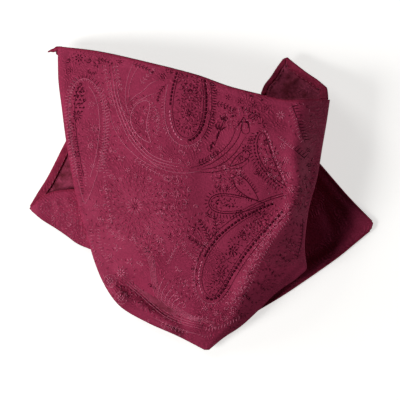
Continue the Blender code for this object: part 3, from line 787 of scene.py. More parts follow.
# Corner D, far side
# The left corner lies open. Its far side shows the reverse, flat on the table, with its hem
# turned up and stitched parallel to the rim.
FLAP_D_FAR = [
    EdgePair(-114.5, -6.9, -113.9, -7.8),
    EdgePair(-108.2, 3.6, -105.2, -8.7),
    EdgePair(-102.0, 13.4, -96.0, -14.4),
    EdgePair(-96.0, 25.0, -88.0, -19.4),
    EdgePair(-90.0, 36.8, -80.5, -24.4),
    EdgePair(-82.5, 49.0, -72.5, -29.6),
]
D_RISE = 0.55                           # from row to row, towards the panel
D_LIFT, D_EVEN, D_HOLD = 0.7, 1.8, 5    # how high and fine its waves are, and how they end


def flap_d_far_point(at, across):
    """A point of the far side of corner D, from its lower edge across to its rim."""
    row = table_at(FLAP_D_FAR, at)
    return Vector((row.lower_x + across * (row.upper_x - row.lower_x),
                   row.lower_y + across * (row.upper_y - row.lower_y), FLAP_REST + D_RISE * at))


d_rows = []
for across in spread(1.0, 0.0, 50):
    line = []
    for at in spread(0.0, len(FLAP_D_FAR) - 1, 60):
        point = flap_d_far_point(at, across)
        hold = min(1.0, (1 - across) * D_HOLD)
        point.z += D_LIFT * uneven(point.x * D_EVEN, point.y * D_EVEN, 31.0) * hold
        line.append(point)
    d_rows.append(line)
d_far = shell("flap_d_far_cloth", d_rows, reverse_material)
placed(d_far, "satin_reverse", "flap_d_far")
turned_hem("hem_d_rim", flap_d_far_point, spread(0.12, 4.9, 70), 1, HEM_PROFILE)
placed(stitch_line("stitches_d_rim", flap_d_far_point, 0.75, 4.8, 1, 0.78), "satin_hem")

# Corner D, near side
# The lip of the corner, folded over with its face up. Its hem stands up from the far side as a
# thick soft lip, and its lower edge rolls under.
LipRow = namedtuple("LipRow", "upper_x upper_y upper_z lower_x lower_y lower_z")
FLAP_D_NEAR = [
    LipRow(-113.6, -6.6, 3.0, -113.2, -8.6, 2.8),
    LipRow(-106.0, 0.4, 5.4, -106.0, -14.6, 3.3),
    LipRow(-100.0, 3.3, 6.6, -97.3, -20.0, 4.0),
    LipRow(-92.6, 4.9, 8.1, -89.6, -25.2, 5.1),
    LipRow(-85.2, 5.3, 9.4, -82.4, -30.4, 6.3),
    LipRow(-78.4, 5.0, 10.2, -73.6, -34.2, 7.4),
]
LIP_ROLL, LIP_TUCK, LIP_BULGE = 1.6, 0.8, 1.4
LIP_ROLL_MOST, LIP_TUCK_MOST = 0.3, 0.9     # as shares of a narrow row
LIP_EVEN = 1.5     # its waves are finer than the panel's
LIP_CREASES = laid_creases([
    Crease([(-104, -4), (-94, -6), (-84, -4)], 2.2, -0.6),
    Crease([(-98, 2), (-95, -6), (-93, -12)], 1.8, 0.4),
    Crease([(-90, 3), (-88, -4), (-84, -10)], 1.8, 0.4),
    Crease([(-100, -12), (-88, -17), (-80, -22)], 3.0, 0.5),
])


def lip_point(at, across):
    """A point of the near side of corner D, from its lower edge across to the raised lip."""
    row = table_at(FLAP_D_NEAR, at)
    point = Vector((row.lower_x, row.lower_y, row.lower_z)).lerp(
        Vector((row.upper_x, row.upper_y, row.upper_z)), across)
    point.z += LIP_BULGE * math.sin(math.pi * across) * min(1.0, at * 1.5)
    return point


lip_columns = []
for at in spread(0.0, len(FLAP_D_NEAR) - 1, 72):
    lower, upper = lip_point(at, 0.0), lip_point(at, 1.0)
    width = (upper - lower).xy.length
    roll = min(LIP_ROLL, LIP_ROLL_MOST * width)
    slope = math.atan2(lip_point(at, (roll + 1.0) / width).z - lip_point(at, roll / width).z, 1.0)
    start = roll * (1 - math.sin(slope))
    centre = lip_point(at, start / width).z - roll * math.cos(slope)
    column = []
    for angle in reversed(spread(slope, math.pi, 10)):
        point = lower.lerp(upper, roll * (1 - math.sin(angle)) / width)
        point.z = centre + roll * math.cos(angle)
        column.append(point)
    inner = lower.lerp(upper, min(LIP_TUCK_MOST, (roll + LIP_TUCK) / width))
    inner.z = centre - roll
    column.insert(0, inner)
    for across in spread(start / width, 1.0, 46)[1:]:
        point = lip_point(at, across)
        hold = min(1.0, across * 5, at * 2)
        point.z += (crease_lift(LIP_CREASES, point.x, point.y)
                    + uneven(point.x * LIP_EVEN, point.y * LIP_EVEN, 41.0)) * hold
        column.append(point)
    lip_columns.append(list(reversed(column)))
lip_rows = [list(row) for row in zip(*lip_columns)]
lip_cloth = shell("flap_d_near_cloth", lip_rows, face_material)
placed(lip_cloth, "satin_face", "flap_d_near")
turned_hem("hem_d_lip", lip_point, spread(0.35, 4.9, 60), 1, HEM_UNDER)

# Hidden layers
# The rest of the folded cloth, inside the front panel: one rounded body of layers from the CAD
# model. Where it shows, in the open mouth and along the table, folded edges lie one on another.
Leaf = namedtuple("Leaf", "fold share lower_share")
LEAVES = [Leaf(0.31, 0.40, 0.03), Leaf(0.58, 0.61, 0.40), Leaf(0.84, 0.86, 0.62), Leaf(1.08, 1.0, 0.86)]
LEAF_DEPTH, LEAF_UNDER, LEAF_BEND = 1.0, 0.6, 0.12     # in sections: above, below and at the fold
LEAF_ROUND, LEAF_GAP, LEAF_LEAST = 11, 2.4, 0.6        # steps of the fold; mm under the panel
LEAF_WAVE, LEAF_SWAY = 0.035, 0.02                     # in sections
BODY_SINK = 0.78     # the body stands a little lower than in the CAD model, under a finer panel
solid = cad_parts["hidden_folds"].data
body_verts = [(v.co.x / MM, v.co.y / MM, v.co.z * BODY_SINK / MM) for v in solid.vertices]
body_faces = [tuple(face.vertices) for face in solid.polygons]
body = mesh_object("folded_body", body_verts, body_faces, reverse_material)
placed(body, "satin_reverse", "hidden_folds")


def leaf_height(section, share, along):
    """Height of a layer under the panel."""
    room = panel_height(table_at(PANEL, section), section, along) - LEAF_GAP
    return max(LEAF_LEAST, room * share)


leaf_pieces = []
for number, leaf in enumerate(LEAVES):
    lines = []
    for along in spread(0.05, 0.80, 84):
        wave = noise.noise(Vector((along * 7, number * 3.1, 2.0)))
        fold = leaf.fold + LEAF_WAVE * wave + LEAF_SWAY * math.sin(along * 9 + number)
        start = fold + LEAF_BEND
        upper = leaf_height(start, leaf.share, along)
        lower = leaf_height(start, leaf.lower_share, along)
        line = [panel_point(section, along, leaf_height(section, leaf.share, along))
                for section in spread(fold + LEAF_DEPTH, start, 8)]
        for turn in spread(0.0, math.pi, LEAF_ROUND)[1:-1]:
            line.append(panel_point(start - LEAF_BEND * math.sin(turn), along,
                                    lower + (upper - lower) * (0.5 + 0.5 * math.cos(turn))))
        line += [panel_point(section, along, leaf_height(section, leaf.lower_share, along))
                 for section in spread(start, fold + LEAF_UNDER, 4)]
        lines.append(line)
    rows = [list(row) for row in zip(*lines)]
    leaf_pieces.append(shell("folded_layer_%d" % (number + 1), rows, reverse_material))
    placed(leaf_pieces[-1], "satin_reverse")

# Folded edges that run along the table beside the body of layers, on the left and the right:
# the section of the panel, and how far in from its fold.
EDGE_LEFT = [(0.4, 3.2), (1.2, 7.0), (2.0, 11.6), (4.0, 8.8), (6.0, 5.3), (7.5, 2.8), (11.4, 1.7)]
EDGE_RIGHT = [(7.3, 22.0), (7.8, 13.6), (8.4, 5.6), (9.2, 2.4), (11.4, 1.8)]
EDGE_HEIGHTS = [(0.55, 1.9), (2.1, 3.3)]
EDGE_CLOTH, EDGE_ROUND, EDGE_TAIL, EDGE_WAVE, EDGE_SHIFT = 0.35, 0.9, 4.0, 0.35, 0.5


def folded_edge(name, table, side, low, high, shift):
    """A long folded edge: two plies that meet in a round fold beside the body of layers."""
    lines = []
    for section in spread(table[0][0], table[-1][0], 110):
        row = table_at(PANEL, section)
        inward = through([k for k, _ in table], [v for _, v in table], section) + shift
        inward += EDGE_WAVE * noise.noise(Vector((section * 1.7, low, 9.0)))
        profile = [(inward + EDGE_TAIL, low)]
        for turn in spread(-0.5 * math.pi, 0.5 * math.pi, 9):
            height = 0.5 * (low + high) + 0.5 * (high - low) * math.sin(turn)
            profile.append((inward + EDGE_ROUND * (1 - math.cos(turn)), height))
        profile.append((inward + EDGE_TAIL, high))
        line = []
        for reach, height in profile:
            share = reach / section_width(row)
            line.append(panel_place(row, section, share if side == LEFT else 1 - share, height))
        lines.append(line if side == LEFT else list(reversed(line)))
    return placed(shell(name, lines, reverse_material, EDGE_CLOTH), "satin_reverse")


for number, (low, high) in enumerate(EDGE_HEIGHTS):
    for name, table, side, length, area in (("folded_edge_left_%d", EDGE_LEFT, LEFT, 0.2, 0.00156),
                                            ("folded_edge_right_%d", EDGE_RIGHT, RIGHT, 0.055, 0.00038)):
        made = folded_edge(name % (number + 1), table, side, low, high, EDGE_SHIFT * number)

# Point of corner A
# Where the top hem meets the left one the corner is pressed to a small twisted point, which
# sticks out past the left fold.
POINT_LINE = [(-92.3, 98.0, 8.6), (-95.2, 98.7, 8.2), (-98.6, 98.0, 7.6), (-101.9, 97.0, 7.3)]
POINT_HALF = [2.1, 1.7, 1.0, 0.35]
POINT_TWIST, POINT_FLUTES, POINT_FLAT, POINT_SIDES = 2.6, 0.22, 0.72, 16
point_rings = []
point_places = curve(POINT_LINE, 0.5)
for k, middle in enumerate(point_places):
    share = k / (len(point_places) - 1)
    half = through([0.0, 0.35, 0.7, 1.0], POINT_HALF, share)
    twist = POINT_TWIST * share
    ring = []
    for turn in range(POINT_SIDES):
        angle = turn * 2 * math.pi / POINT_SIDES
        out = half * (1 + POINT_FLUTES * math.cos(3 * (angle - twist)))
        ring.append(middle + Vector((0.0, out * math.cos(angle + twist),
                                     POINT_FLAT * out * math.sin(angle + twist))))
    point_rings.append(ring)
a_point = lofted("corner_a_point", point_rings, hem_material)
placed(a_point, "satin_hem", "point_a")

# Paisley figure
# The figure is woven into the satin, tone on tone: its floats stand a little over the ground.
# They catch the lamp as fine light lines on the left and read as darker marks elsewhere, so
# They are drawn in two colours of painted light: fine lines of painted highlight on the left, where
# the floats would catch the lamp, and painted shade as darker marks elsewhere. The weave is finer; its
# marks are drawn 0.4 mm wide and more.
FIGURE_EDGE, FIGURE_CROWN = -0.06, 0.24  # how far a mark's edges sink in and its middle stands out
MARK_STEP = 0.9
ABOVE, STEEPEST = 90.0, 0.25     # marks are laid down from above, and not on steeper cloth
TIP_LEAF, TIP_FINE, TIP_RUN = 0.12, 0.2, 6     # how narrow a mark's ends are, and how they widen
BURST_PITCH = 2.2                # from stroke to stroke and from ring to ring
SCROLL_TURN, SCROLL_IN = 4.9, 0.78     # how far a scroll winds, in radians, and how far in
BOW_PETAL, BOW_LEAF = 0.06, 0.12       # how much a stroke bows, as a share of its length
cloths = {
    "front": BVHTree.FromPolygons([p for row in front_rows for p in row], grid_faces(front_rows)),
    "lip": BVHTree.FromPolygons([p for row in lip_rows for p in row], grid_faces(lip_rows)),
}
marks = {"light": ([], []), "dark": ([], [])}


def on_cloth(cloth, x, y, rise):
    """The point over a place on a cloth, raised along its normal, or None off the cloth."""
    found, normal, _, _ = cloths[cloth].ray_cast(Vector((x, y, ABOVE)), Vector((0.0, 0.0, -1.0)))
    if found is None or normal.z < STEEPEST:
        return None
    return found + normal * rise


def mark(tone, line, width, ends="blunt", cloth="front"):
    """Lays one mark along a line: a low ridge with closed ends, cut where the cloth ends."""
    verts, faces = marks[tone]
    run = []
    last = len(line) - 1
    for k, place in enumerate(line):
        before, after = line[max(k - 1, 0)], line[min(k + 1, last)]
        along = Vector((after[0] - before[0], after[1] - before[1])).normalized()
        share = k / last
        half = 0.5 * width
        if ends == "leaf":
            half *= max(TIP_LEAF, math.sin(math.pi * share ** 0.8))
        elif ends == "fine":
            half *= max(TIP_FINE, min(1.0, TIP_RUN * share, TIP_RUN * (1 - share)))
        side = (-along.y * half, along.x * half)
        crown = FIGURE_CROWN if 0 < k < last else 0.5 * FIGURE_CROWN
        three = [on_cloth(cloth, place[0] + side[0] * s, place[1] + side[1] * s, rise)
                 for s, rise in ((1, FIGURE_EDGE), (0, crown), (-1, FIGURE_EDGE))]
        if None in three:
            close_run(verts, faces, run)
            run = []
        else:
            run.append(three)
    close_run(verts, faces, run)


def close_run(verts, faces, run):
    """Adds one unbroken stretch of a mark as a closed three-sided bar."""
    if len(run) > 1:
        faces.extend(bar_faces(len(verts), len(run), 3))
        verts.extend(point for three in run for point in three)


def beside(line, distance):
    """A line that runs beside another, to its left when positive."""
    moved = []
    for k, place in enumerate(line):
        along = (line[min(k + 1, len(line) - 1)] - line[max(k - 1, 0)]).normalized()
        moved.append(place + Vector((-along.y, along.x)) * distance)
    return moved


def part_of(line, first, last):
    """A share of a line."""
    a, b = round(first * (len(line) - 1)), round(last * (len(line) - 1))
    return line[a:b + 1]


def drop(heel, middle, tip, half_width, fullness):
    """Outline of a paisley drop, from its tip round its heel and back; its inside lies to the left."""
    heel, middle, tip = Vector(heel), Vector(middle), Vector(tip)
    bend = 2 * middle - 0.5 * (heel + tip)
    peak = 0.5 / (0.5 + fullness)
    scale = half_width / (peak ** 0.5 * (1 - peak) ** fullness)
    left, right = [], []
    for u in spread(0.0, 1.0, 90):
        share = u * u if u < 0.5 else 0.25 + (u - 0.5) * 1.5
        place = heel * (1 - share) ** 2 + bend * 2 * share * (1 - share) + tip * share ** 2
        along = ((bend - heel) * (1 - share) + (tip - bend) * share).normalized()
        half = scale * share ** 0.5 * (1 - share) ** fullness
        left.append(place + Vector((along.y, -along.x)) * half)
        right.append(place - Vector((along.y, -along.x)) * half)
    return even(list(reversed(right)) + left[1:])


def even(line, step=MARK_STEP):
    """The same line with its points at even steps."""
    reach = [0.0]
    for a, b in zip(line, line[1:]):
        reach.append(reach[-1] + (b - a).length)
    count = max(3, round(reach[-1] / step) + 1)
    out, k = [], 0
    for at in spread(0.0, reach[-1], count):
        while k < len(line) - 2 and at > reach[k + 1]:
            k += 1
        span = max(reach[k + 1] - reach[k], 1e-9)
        out.append(line[k].lerp(line[k + 1], min(1.0, (at - reach[k]) / span)))
    return out


def compass(angle):
    """The direction at an angle."""
    return Vector((math.cos(angle), math.sin(angle)))


def stroke(tone, start, direction, length, width, bow=0.0, ends="leaf", cloth="front"):
    """One short straight or bowed stroke."""
    side = Vector((-direction.y, direction.x))
    line = [start + direction * length * s + side * bow * length * math.sin(math.pi * s)
            for s in (0.0, 0.25, 0.5, 0.75, 1.0)]
    mark(tone, line, width, ends, cloth)


def tendril(tone, points, width=0.55):
    """A fine line through points."""
    mark(tone, curve(points), width, "fine")


def squares(tone, line, size, pitch):
    """A row of small square marks along a line."""
    line = even(line, pitch)
    for k in range(1, len(line) - 1):
        along = (line[k + 1] - line[k - 1]).normalized()
        stroke(tone, line[k] - along * 0.5 * size, along, size, size, ends="blunt")


def fringe(tone, line, length, pitch, width=0.5, lean=0.25):
    """Short strokes that stand out from a line, on its left when the length is positive."""
    line = even(line, pitch)
    for k in range(1, len(line) - 1):
        along = (line[k + 1] - line[k - 1]).normalized()
        out = Vector((-along.y, along.x)) * (1 if length > 0 else -1)
        stroke(tone, line[k], (out + along * lean).normalized(), abs(length), width)


def dots(tone, places, size, cloth="front"):
    """Small marks as long as they are wide."""
    for place in places:
        start = Vector(place) - Vector((0.5 * size, 0.0))
        stroke(tone, start, Vector((1.0, 0.0)), size, size, cloth=cloth)


def petals(tone, centre, inner, outer, count, width, turn=0.0):
    """Strokes that stand out from a centre, all round."""
    for k in range(count):
        out = compass(turn + 2 * math.pi * k / count)
        stroke(tone, Vector(centre) + out * inner, out, outer - inner, width, BOW_PETAL)


def circle(tone, centre, radius, width):
    """A plain line round a centre."""
    mark(tone, [Vector(centre) + compass(a) * radius for a in spread(0.0, 2 * math.pi, 15)], width)


def scroll(tone, centre, radius, angle, hand, width=0.55, cloth="front"):
    """A curled tendril: it winds in from its root, at an angle in degrees, to the centre."""
    line = []
    for share in spread(0.0, 1.0, 18):
        out = compass(math.radians(angle) + hand * share * SCROLL_TURN)
        line.append(Vector(centre) + out * radius * (1 - SCROLL_IN * share))
    mark(tone, line, width, "fine", cloth)
    dots(tone, [centre], 1.4 * width, cloth)


def sprig(tone, points, length, pitch, width=0.8, stem=0.45):
    """A stem with leaves in pairs, smaller towards its end."""
    line = curve(points, MARK_STEP)
    if stem:
        mark(tone, line, stem, "fine")
    nodes = even(line, pitch)
    for k in range(1, len(nodes)):
        along = (nodes[k] - nodes[k - 1]).normalized()
        side = Vector((-along.y, along.x))
        size = length * (1.05 - 0.5 * k / len(nodes))
        for hand in (1, -1):
            out = (along * 0.8 + side * hand).normalized()
            stroke(tone, nodes[k], out, size, width, BOW_LEAF * hand)
    stroke(tone, line[-1], (line[-1] - line[-2]).normalized(), length * 0.8, width)


def flower(tone, centre, radius, count=6, turn=0.0):
    """A small round flower: a dot, petals and a ring of dots."""
    dots(tone, [centre], 0.25 * radius + 0.4)
    petals(tone, centre, 0.28 * radius, 0.85 * radius, count, 0.3 * radius + 0.25, turn)
    tips = [Vector(centre) + compass(turn + math.pi * (2 * k + 1) / count) * radius * 1.12
            for k in range(count)]
    dots(tone, tips, 0.6)


def burst(centre, first, last, lean, width=0.55, tones=("light", "dark"), squash=1.0, cloth="front"):
    """Rings of short strokes round a centre, in two tones by turns, each ring leaning its own way."""
    for k, radius in enumerate(spread(first, last, max(2, round((last - first) / BURST_PITCH)))):
        count = round(2 * math.pi * radius / BURST_PITCH)
        for j in range(count):
            angle = 2 * math.pi * (j + 0.5 * (k % 2)) / count
            reach = radius * (1 + 0.05 * math.sin(3 * angle))
            at = Vector(centre) + Vector((math.cos(angle), math.sin(angle) * squash)) * reach
            out = compass(angle + (lean if k % 2 else -lean))
            stroke(tones[(j + k) % 2], at, out, 2.0, width, BOW_LEAF, cloth=cloth)


# Left drop, heel up: light lines, with a ladder of rungs on its right and dark scrolls inside.
left_drop = drop((-78.7, 78.5), (-74.7, 42.2), (-76.7, -4.0), 12.1, 0.85)
mark("light", left_drop, 0.5)
fringe("light", part_of(left_drop, 0.12, 0.88), 1.7, 1.76, 0.75, 0.0)
inner = beside(left_drop, 3.9)
mark("light", part_of(inner, 0.1, 0.47), 0.6)
mark("dark", part_of(inner, 0.53, 0.9), 0.5)
fringe("light", part_of(left_drop, 0.52, 0.9), -3.3, 2.0, 0.6, 0.3)
fringe("light", part_of(left_drop, 0.12, 0.45), -3.9, 2.0, 0.75, 0.35)
fringe("dark", part_of(left_drop, 0.42, 0.58), -2.9, 2.0, 0.6, 0.0)
for place, angle in (((-85.4, 70.0), 90), ((-86.0, 62.1), 60), ((-85.4, 54.1), 100), ((-84.7, 46.2), 80)):
    scroll("light", place, 1.44, angle, 1, 0.5)
for place, size, angle, hand in (((-80.0, 75.2), 1.95, 200, 1), ((-78.7, 69.9), 1.69, 20, 1),
        ((-82.0, 66.6), 1.69, 160, -1), ((-77.3, 64.6), 1.43, 60, -1), ((-80.7, 62.0), 1.3, 240, 1)):
    scroll("dark", place, size, angle, hand, 0.75)
dots("dark", [(-83.7, 72.6), (-81.0, 72.6), (-78.3, 72.5)], 1.63)
for row in range(1, 7):
    dots("dark", [(-83.7 + 2.48 * k + 1.24 * (row % 2), 72.6 - 2.61 * row) for k in range(3)], 1.63)
petals("dark", (-82.0, 54.1), 0.78, 3.7, 10, 0.9)
squares("dark", [Vector((-84.0, 50.8)), Vector((-84.7, 47.5)), Vector((-83.3, 42.9))], 1.11, 2.0)
fringe("dark", curve([(-84.7, 42.2), (-84.0, 37.0), (-82.7, 32.3)]), 3.3, 1.7, 0.7)
flower("dark", (-82.0, 29.0), 2.9)
fringe("dark", curve([(-82.7, 25.1), (-81.3, 17.1), (-80.0, 7.2), (-79.3, 1.3)]), 2.7, 1.7, 0.6)
fringe("light", curve([(-78.7, 26.4), (-77.3, 17.1), (-76.7, 6.6)]), 2.3, 1.83, 0.5)
for row in range(9):
    dots("light", [(-73.9 + 2.74 * k + 1.3 * (row % 2), 65.9 - 3.51 * row) for k in range(3)], 0.85)
petals("light", (-72.0, 61.9), 0.65, 2.6, 8, 0.55)
petals("light", (-70.0, 45.4), 0.65, 3.0, 8, 0.6, 0.3)
flower("light", (-72.7, 34.3), 2.7, 7)
flower("light", (-71.3, 21.1), 2.2, 6)
dots("light", [(-74.7, 40.2), (-68.7, 38.8), (-73.3, 26.3), (-68.7, 27.6), (-74.0, 14.5), (-70.0, 11.2),
        (-73.3, 7.2)], 0.9)
fringe("light", curve([(-67.3, 31.6), (-64.7, 23.0), (-61.3, 13.1)]), 2.6, 1.83, 0.5)

# Vine of three light lines that sweeps down from the hem to the middle, then fans out.
vine = [(-58.7, 88.1), (-56.7, 69.6), (-54.0, 59.1), (-50.7, 50.5), (-46.1, 40.7), (-37.5, 30.1),
        (-30.3, 24.8), (-17.8, 20.9), (-7.3, 19.5)]
for shift, width in ((0.0, 0.75), (1.9, 0.6), (-1.9, 0.6)):
    mark("light", beside(curve(vine, MARK_STEP), shift), width, "fine")
tendril("light", [(-61.3, 64.4), (-58.7, 49.9), (-52.7, 38.1), (-44.1, 28.8), (-33.6, 21.6),
        (-21.7, 17.6)], 0.5)
sprig("light", [(-56.7, 89.4), (-55.4, 81.5), (-52.7, 72.2)], 2.9, 2.6, 0.7)
sprig("light", [(-64.7, 89.5), (-62.7, 81.6), (-60.7, 71.0), (-58.7, 61.8)], 2.3, 2.6, 0.6)
for shape in (
        ([(-43.5, 90.5), (-47.4, 81.3), (-49.4, 72.2), (-49.4, 63.0), (-46.8, 52.5)],),
        ([(-39.5, 88.4), (-44.8, 80.0), (-47.4, 70.8), (-46.8, 62.3)], 0.5),
        ([(-48.7, 61.7), (-44.1, 66.2), (-38.2, 70.1), (-33.6, 74.6), (-27.0, 77.8)],),
        ([(-46.1, 59.0), (-40.8, 63.6), (-33.6, 67.4), (-28.3, 68.7)], 0.5)):
    tendril("light", *shape)
sprig("light", [(-40.2, 73.4), (-35.5, 79.9), (-31.6, 83.7)], 2.9, 2.6, 0.7)
sprig("light", [(-45.4, 26.9), (-34.9, 19.6), (-24.4, 14.4), (-10.0, 13.7)], 2.5, 3.0, 0.65)
tendril("light", [(-36.2, 26.2), (-28.3, 20.3), (-19.1, 17.0), (-8.7, 16.3), (1.8, 18.2)])
for place, angle, hand in (((-26.3, 27.4), 250, 1), ((-20.4, 24.8), 250, 1), ((-14.5, 24.1), 250, 1),
        ((-8.7, 22.8), 240, 1)):
    scroll("light", place, 1.7, angle, hand, 0.55)
for stem in ([(-7.3, 19.5), (1.1, 22.1), (10.9, 28.6), (18.7, 36.4), (22.6, 45.5)],
        [(-3.4, 18.8), (7.0, 22.8), (17.4, 30.6), (23.9, 39.0), (27.2, 49.4)],
        [(-0.8, 18.2), (10.9, 20.8), (21.3, 28.6), (29.1, 40.3)]):
    mark("dark", curve(stem, MARK_STEP), 0.6, "fine")
tendril("dark", [(-2.1, 16.9), (8.3, 16.9), (17.4, 18.8), (25.2, 19.5), (29.8, 22.8)], 0.6)
scroll("dark", (29.1, 24.7), 2.0, 300, 1, 0.7)
sprig("dark", [(-3.4, 22.1), (3.1, 24.7), (9.6, 29.3)], 3.0, 2.3, 0.9)
sprig("dark", [(3.1, 28.6), (5.7, 31.9), (7.6, 35.1)], 2.6, 2.3, 0.9, 0.0)
stroke("dark", Vector((5.7, 30.6)), Vector((0.26, 0.96)), 6.5, 1.76)
stroke("dark", Vector((9.6, 38.4)), Vector((0.36, 0.93)), 5.9, 1.7)
for angle in (35, 60, 85, 110):
    out = compass(math.radians(angle))
    stroke("dark", Vector((11.5, 42.9)) + out * 1.3, out, 4.6, 1.5, 0.1)
    stroke("dark", Vector((13.5, 49.4)) + out * 0.98, out, 3.9, 1.3, -0.1)
tendril("dark", [(8.3, 33.8), (11.5, 41.6), (14.1, 49.4), (16.1, 55.9)])
for a, b in (((22.6, 45.5), (27.8, 52.7)), ((27.2, 49.4), (31.1, 46.8))):
    mark("dark", curve([a, ((a[0] + b[0]) / 2 + 1.0, (a[1] + b[1]) / 2 + 1.4), b], 0.8), 1.3, "leaf")
leaf = drop((29.1, 41.6), (28.5, 46.2), (27.2, 52.7), 2.6, 0.9)
mark("dark", leaf, 0.6)
bud = drop((31.1, 29.9), (25.2, 25.4), (18.7, 20.8), 2.9, 0.9)
mark("dark", bud, 0.65)
flower("dark", (29.1, 31.9), 3.3, 7)
petals("dark", (25.9, 26.0), 0.52, 2.1, 7, 0.8)

# Small light drop with feathers, on the left of the middle.
feather = drop((-34.2, 62.8), (-40.8, 50.4), (-32.9, 36.0), 5.5, 0.8)
mark("light", feather, 0.75)
fringe("light", part_of(feather, 0.08, 0.92), -2.7, 2.0, 0.5, 0.3)
scroll("light", (-36.2, 56.3), 2.3, 30, 1)
scroll("light", (-38.8, 50.4), 2.2, 210, 1)
scroll("light", (-35.5, 44.5), 2.0, 30, -1)
petals("light", (-29.6, 52.3), 0.65, 3.3, 9, 0.6)
sprig("light", [(-32.2, 37.9), (-28.3, 45.1), (-28.3, 54.3), (-31.6, 61.5)], 2.3, 2.3, 0.6)
for place, angle in (((-44.1, 56.4), 90), ((-46.1, 50.5), 120), ((-44.1, 43.9), 160)):
    scroll("light", place, 1.7, angle, 1, 0.5)

# Middle drop, heel down and cut by the top hem: a row of squares between two lines, and a
# comb of strokes outside on the right.
middle_drop = drop((-10.0, 37.5), (-8.3, 65.2), (-6.7, 98.2), 11.7, 0.7)
squares("dark", part_of(middle_drop, 0.0, 0.31), 1.83, 2.5)
squares("light", part_of(middle_drop, 0.31, 0.5), 1.7, 2.5)
squares("dark", part_of(middle_drop, 0.5, 1.0), 2.2, 2.7)
outer = beside(middle_drop, -3.6)
mark("light", part_of(outer, 0.2, 0.56), 0.55)
mark("dark", part_of(outer, 0.56, 0.95), 0.5)
mark("dark", part_of(beside(middle_drop, 1.7), 0.08, 0.92), 0.4)
fringe("dark", part_of(outer, 0.56, 0.86), -3.5, 1.7, 1.0, -0.2)
fringe("light", part_of(outer, 0.24, 0.56), -2.5, 2.0, 0.5, 0.3)
petals("dark", (-8.0, 55.4), 0.65, 2.9, 8, 0.75)
petals("dark", (-8.0, 55.4), 3.7, 5.6, 14, 0.65, 0.2)
circle("dark", (-8.0, 55.4), 0.91, 0.6)
dots("dark", [(-8.7 + 6.26 * math.cos(a), 50.9 - 5.61 * math.sin(a)) for a in spread(0.1, 3.04, 8)], 1.3)
dots("dark", [(-14.5 + 2.22 * k, 63.9 - 0.78 * math.sin(k * 2.2)) for k in range(5)], 1.24)
petals("dark", (-7.3, 69.0), 0.52, 2.3, 7, 0.7)
petals("dark", (-7.3, 69.0), 3.0, 4.6, 11, 0.6, 0.3)
fringe("dark", curve([(-13.9, 74.3), (-11.9, 69.1), (-13.2, 63.9)]), 2.2, 1.63, 0.6)
fringe("dark", curve([(-0.8, 76.8), (-2.8, 70.3), (-0.8, 62.5)]), -2.2, 1.63, 0.6)
dots("dark", [(-11.9, 60.0), (-3.4, 61.1), (-15.2, 56.1), (-0.8, 55.9), (-10.0, 74.3), (-4.7, 75.5),
        (-11.3, 78.9)], 1.04)
dots("dark", [(-16.5, 50.9), (-15.2, 47.0), (0.5, 52.0), (-11.3, 43.7), (-5.4, 43.6)], 0.91)

# Sprigs and small flowers along the top hem.
flower("dark", (-80.7, 92.4), 3.5, 7)
petals("dark", (-80.7, 92.4), 3.7, 5.0, 11, 0.6, 0.2)
for place in ((-88.0, 91.2), (-74.0, 90.9)):
    scroll("dark", place, 2.2, 200, 1, 0.75)
sprig("dark", [(-70.0, 90.9), (-64.7, 90.8), (-59.3, 88.7)], 2.0, 2.2, 0.8)
sprig("dark", [(-45.4, 87.9), (-38.2, 85.8), (-32.2, 82.4)], 2.2, 2.3, 0.8)
flower("dark", (-25.0, 79.7), 2.6, 6)
sprig("dark", [(-23.0, 74.5), (-27.0, 69.3), (-28.3, 64.1)], 2.0, 2.3, 0.7)
for place in ((9.6, 69.0), (17.4, 65.7), (25.2, 63.1), (34.3, 60.5), (42.1, 58.5)):
    flower("dark", place, 2.3, 5)
sprig("dark", [(8.3, 61.8), (14.8, 60.5), (20.6, 57.9)], 2.5, 2.3, 0.8)
sprig("dark", [(39.5, 52.0), (33.0, 55.3), (27.2, 58.5)], 2.5, 2.3, 0.8)
dots("dark", [(15.4, 58.5), (20.6, 53.3), (32.4, 66.4), (39.5, 63.8)], 2.0)

# Upper right: a dotted drop that leans along the slope, with light flowers on the ridge.
right_drop = drop((40.2, 44.2), (42.8, 24.7), (58.4, 3.9), 5.9, 0.8)
squares("dark", part_of(right_drop, 0.48, 0.95), 1.37, 2.2)
mark("dark", part_of(beside(right_drop, 1.83), 0.04, 0.96), 0.5)
squares("light", part_of(right_drop, 0.05, 0.46), 1.3, 2.2)
fringe("dark", part_of(beside(right_drop, -1.3), 0.5, 0.92), -3.0, 2.1, 0.75)
petals("dark", (42.1, 36.4), 0.52, 2.6, 8, 0.7)
for k in range(5):
    burst((39.6 + 3.39 * k, 37.8 - 6.85 * k), 1.3, 4.2, 0.6, 0.5, ("dark", "light"), 1.3)
for k in range(9):
    dots("dark", [(41.6 + 1.44 * k, 31.3 - 2.81 * k), (44.5 + 1.37 * k, 31.9 - 2.68 * k)], 0.98)
petals("light", (51.9, 54.0), 0.52, 3.3, 8, 1.0, 0.39)
for place in ((53.2, 33.8), (55.1, 24.7), (57.1, 14.9), (58.4, 5.2), (55.8, -5.2)):
    flower("light", place, 2.7, 6)
    scroll("light", (place[0] - 3.4, place[1] - 4.6), 1.7, 40, 1)
edge_line = curve([(49.3, 40.3), (53.2, 37.1), (57.7, 33.2), (63.0, 29.3), (68.4, 24.8)])
mark("light", part_of(edge_line, 0.0, 0.6), 0.6, "fine")
mark("dark", part_of(edge_line, 0.55, 1.0), 0.75, "fine")
fringe("light", part_of(edge_line, 0.0, 0.6), 2.6, 2.0, 0.55)
fringe("dark", part_of(edge_line, 0.5, 1.0), 3.9, 2.1, 0.8)
fold_line = curve([(58.4, 61.8), (61.7, 53.4), (64.4, 44.3), (67.7, 35.9)])
mark("dark", fold_line, 0.5, "fine")
fringe("dark", fold_line, 4.2, 2.1, 0.8)
fringe("light", fold_line, -3.3, 2.2, 0.6)
